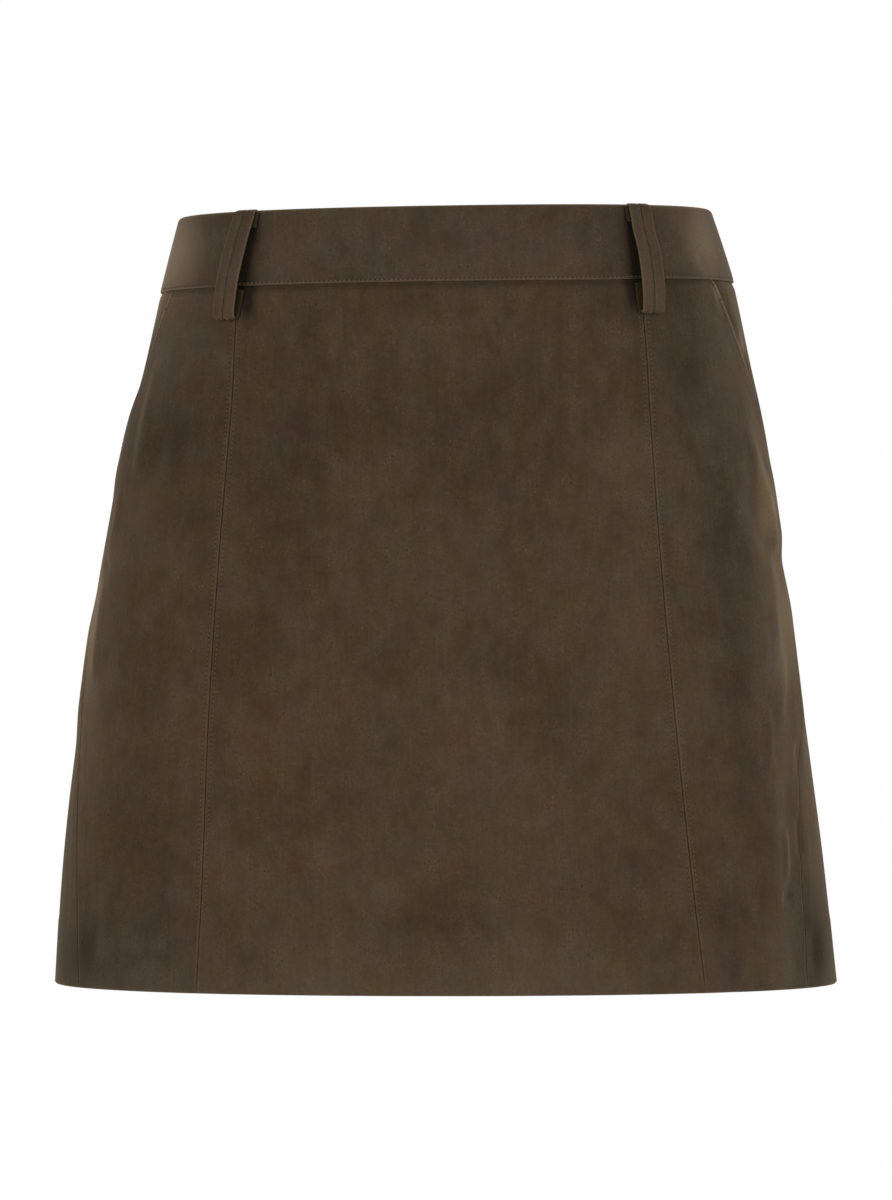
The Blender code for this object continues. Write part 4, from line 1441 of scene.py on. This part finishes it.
# %% Metal pieces
def bevel(shape, edges, width, segments, clamped=False):
    bmesh.ops.bevel(shape, geom=edges, offset=width, segments=segments, profile=0.5,
                    affect="EDGES", material=-1, clamp_overlap=clamped)


def soften(shape, width):
    """Round the edges of a piece of metal that are sharper than 40 degrees."""
    sharp = [edge for edge in shape.edges
             if edge.is_manifold and edge.calc_face_angle() > math.radians(40)]
    bevel(shape, sharp, width, 2, clamped=True)


def metal_piece(name, shape, placed, body, node):
    bmesh.ops.transform(shape, matrix=placed, verts=shape.verts)
    bmesh.ops.recalc_face_normals(shape, faces=shape.faces)
    piece = new_object(name, shape, (ZIP_METAL,))
    piece.data.shade_smooth()
    piece.data.set_sharp_from_angle(angle=math.radians(50))
    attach(piece, body)
    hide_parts(node)
    print(name, len(piece.data.polygons), "faces")


# %% [markdown]
# The slider's body is a small block that narrows downwards.  Its arch is half a ring: a
# square bar spun half a turn, with its two ends drawn down into the body.

# %% The slider's body
SLIDER_WIDTH, SLIDER_DEPTH, SLIDER_LENGTH = 7.0, 2.6, 10.0
SLIDER_BACK = -5.08        # its middle, behind the band's outer face
SLIDER_FOOT = 0.74         # its width at the foot, as a share of the width at the top


def same(edge, axis):
    """Whether both ends of an edge are at one place along an axis."""
    return abs(edge.verts[0].co[axis] - edge.verts[1].co[axis]) < 1e-6


slider = bmesh.new()
bmesh.ops.create_cube(slider, size=1.0)
for vertex in slider.verts:
    narrow = SLIDER_FOOT if vertex.co.z < 0 else 1.0
    vertex.co = Vector((vertex.co.x * SLIDER_WIDTH * narrow,
                        vertex.co.y * SLIDER_DEPTH + SLIDER_BACK,
                        vertex.co.z * SLIDER_LENGTH))
bevel(slider, [edge for edge in slider.edges if same(edge, 0) and same(edge, 2)], 1.6, 4)
soften(slider, 0.35)
print("the slider's body has", len(slider.faces), "faces")

# %% The slider's arch
ARCH_HALF_WIDTH, ARCH_INNER, ARCH_OUTER, ARCH_FLOOR = 0.6, 2.2, 3.1, 0.5
ARCH_LEG = 4.4
METAL_EDGE = 0.16

arch = bmesh.new()
bmesh.ops.create_grid(arch, x_segments=1, y_segments=1, size=1.0)
for vertex in arch.verts:
    vertex.co = Vector((vertex.co.x * ARCH_HALF_WIDTH, ARCH_FLOOR,
                        ARCH_OUTER if vertex.co.y > 0 else ARCH_INNER))
bmesh.ops.spin(arch, geom=arch.verts[:] + arch.edges[:] + arch.faces[:],
               cent=(0, ARCH_FLOOR, 0), axis=(1, 0, 0), angle=-math.pi, steps=14,
               use_merge=False, use_duplicate=False)
ends = [face for face in arch.faces
        if all(abs(vertex.co.y - ARCH_FLOOR) < 1e-4 for vertex in face.verts)]
drawn = bmesh.ops.extrude_discrete_faces(arch, faces=ends)
print("the arch has", len(ends), "ends")
for face in drawn["faces"]:
    bmesh.ops.translate(arch, verts=face.verts, vec=(0, -ARCH_LEG, 0))
bmesh.ops.remove_doubles(arch, verts=arch.verts, dist=1e-4)
bmesh.ops.recalc_face_normals(arch, faces=arch.faces)
soften(arch, METAL_EDGE)
arch_mesh = bpy.data.meshes.new("arch")
arch.to_mesh(arch_mesh)
arch.free()
slider.from_mesh(arch_mesh)
bpy.data.meshes.remove(arch_mesh)
metal_piece("zip_slider_metal", slider, ZIP_FRAME, SKIRT_BODY, "zip_slider")

# %% [markdown]
# The pull tab hangs from the arch by the bar at the top of its hole.  It starts as a flat
# grid with one face taken out for the hole.  Then it gets its thickness, a rounded lower end
# and softened edges.

# %% The pull tab
PULL_ROWS = [(0.5, 2.2), (-0.5, 2.2), (-5.3, 2.2), (-11.0, 2.55), (-16.0, 2.85), (-21.0, 3.0)]
PULL_HOLE_ROW = 1
PULL_HOLE_HALF = 1.0
PULL_THICKNESS = 1.0
PULL_CORNER = 1.9          # radius of its two lower corners
PULL_AXIS = (0, 1.55, -1.0)

pull = bmesh.new()
bmesh.ops.create_grid(pull, x_segments=3, y_segments=5, size=0.5)
hole = []
for face in pull.faces:
    centre = face.calc_center_median()
    if abs(centre.x) < 0.1 and round((0.5 - centre.y) * 5 - 0.5) == PULL_HOLE_ROW:
        hole.append(face)
bmesh.ops.delete(pull, geom=hole, context="FACES_ONLY")
for vertex in pull.verts:
    height, half = PULL_ROWS[round((0.5 - vertex.co.y) * 5)]
    column = round((vertex.co.x + 0.5) * 3)
    aside = (-half, -PULL_HOLE_HALF, PULL_HOLE_HALF, half)[column]
    vertex.co = Vector((aside, -PULL_THICKNESS / 2, height))
walls = bmesh.ops.extrude_face_region(pull, geom=pull.faces[:], use_keep_orig=True)
bmesh.ops.translate(pull, vec=(0, PULL_THICKNESS, 0),
                    verts=[item for item in walls["geom"] if isinstance(item, bmesh.types.BMVert)])
corners = [edge for edge in pull.edges if not same(edge, 1)
           and all(vertex.co.z < -20.9 and abs(vertex.co.x) > 2.9 for vertex in edge.verts)]
bevel(pull, corners, PULL_CORNER, 6)
bmesh.ops.recalc_face_normals(pull, faces=pull.faces)
soften(pull, METAL_EDGE)
pull_place = ZIP_FRAME @ Matrix.Translation(PULL_AXIS)
metal_piece("zip_pull_metal", pull, pull_place, TAB_BODY, "zip_pull")
print("the tab turns about", [round(value, 5) for value in pull_place.translation])

# %% [markdown]
# ## Light and floor
#
# Two large soft boxes stand beside the skirt and a little behind it.  They put the light rims
# on its left and right edges that give brushed cloth its depth, while a broad, weaker light
# from the front shows its colour.  The background is white to the camera and dim to the
# cloth, which needs one Light Path node in the world.

# %% The floor
FLOOR_HEIGHT = -1.0
FLOOR_RADIUS = 6.0

floor_finish = Finish("floor_paint", Base_Color=brown(232, 230, 226), Roughness=0.9,
                      Emission_Color=(1, 1, 1, 1), Emission_Strength=0.3)
floor_shape = bmesh.new()
bmesh.ops.create_circle(floor_shape, cap_ends=True, segments=64, radius=FLOOR_RADIUS)
bmesh.ops.translate(floor_shape, verts=floor_shape.verts, vec=(0, 0, FLOOR_HEIGHT))
floor = new_object("floor", floor_shape, (floor_finish.material,))
print("the floor is", -FLOOR_HEIGHT, "m below the waist")


# %% The lights
def soft_box(name, place, size, power):
    """A square light that faces the skirt."""
    data = bpy.data.lights.new(name, "AREA")
    data.shape = "RECTANGLE"
    data.size, data.size_y = size
    data.energy = power
    light = add_object(name, data)
    light.location = place
    facing = Vector((0, 0, CAMERA_HEIGHT)) - Vector(place)
    light.rotation_euler = facing.to_track_quat("-Z", "Y").to_euler()
    light.visible_camera = False


soft_box("left_box", (-2.0, -2.1, 0.5), (0.9, 1.5), 32)
soft_box("right_box", (2.0, -2.1, 0.5), (0.9, 1.5), 32)
soft_box("left_rim", (-1.5, 1.7, 1.1), (0.8, 1.4), 16)
soft_box("right_rim", (1.7, 1.4, 1.1), (0.8, 1.4), 25)
soft_box("front_box", (0.0, -2.6, 2.4), (2.4, 1.4), 10)
soft_box("back_box", (0.0, 3.4, 0.9), (2.4, 1.6), 30)
print(len(bpy.data.lights), "lights")

# %% The white background
DIM = 0.08                 # strength of the background as the cloth sees it

world = bpy.data.worlds.new("studio")
world.use_nodes = True
bpy.context.scene.world = world
nodes, links = world.node_tree.nodes, world.node_tree.links
background = nodes["Background"]
background.inputs["Color"].default_value = (1, 1, 1, 1)
seen = nodes.new("ShaderNodeLightPath")
strength = nodes.new("ShaderNodeMapRange")
strength.inputs["To Min"].default_value = DIM
strength.inputs["To Max"].default_value = 1.0
links.new(seen.outputs["Is Camera Ray"], strength.inputs["Value"])
links.new(strength.outputs["Result"], background.inputs["Strength"])
bpy.context.scene.view_settings.view_transform = "Standard"
print("the background is white to the camera and", DIM, "to the cloth")
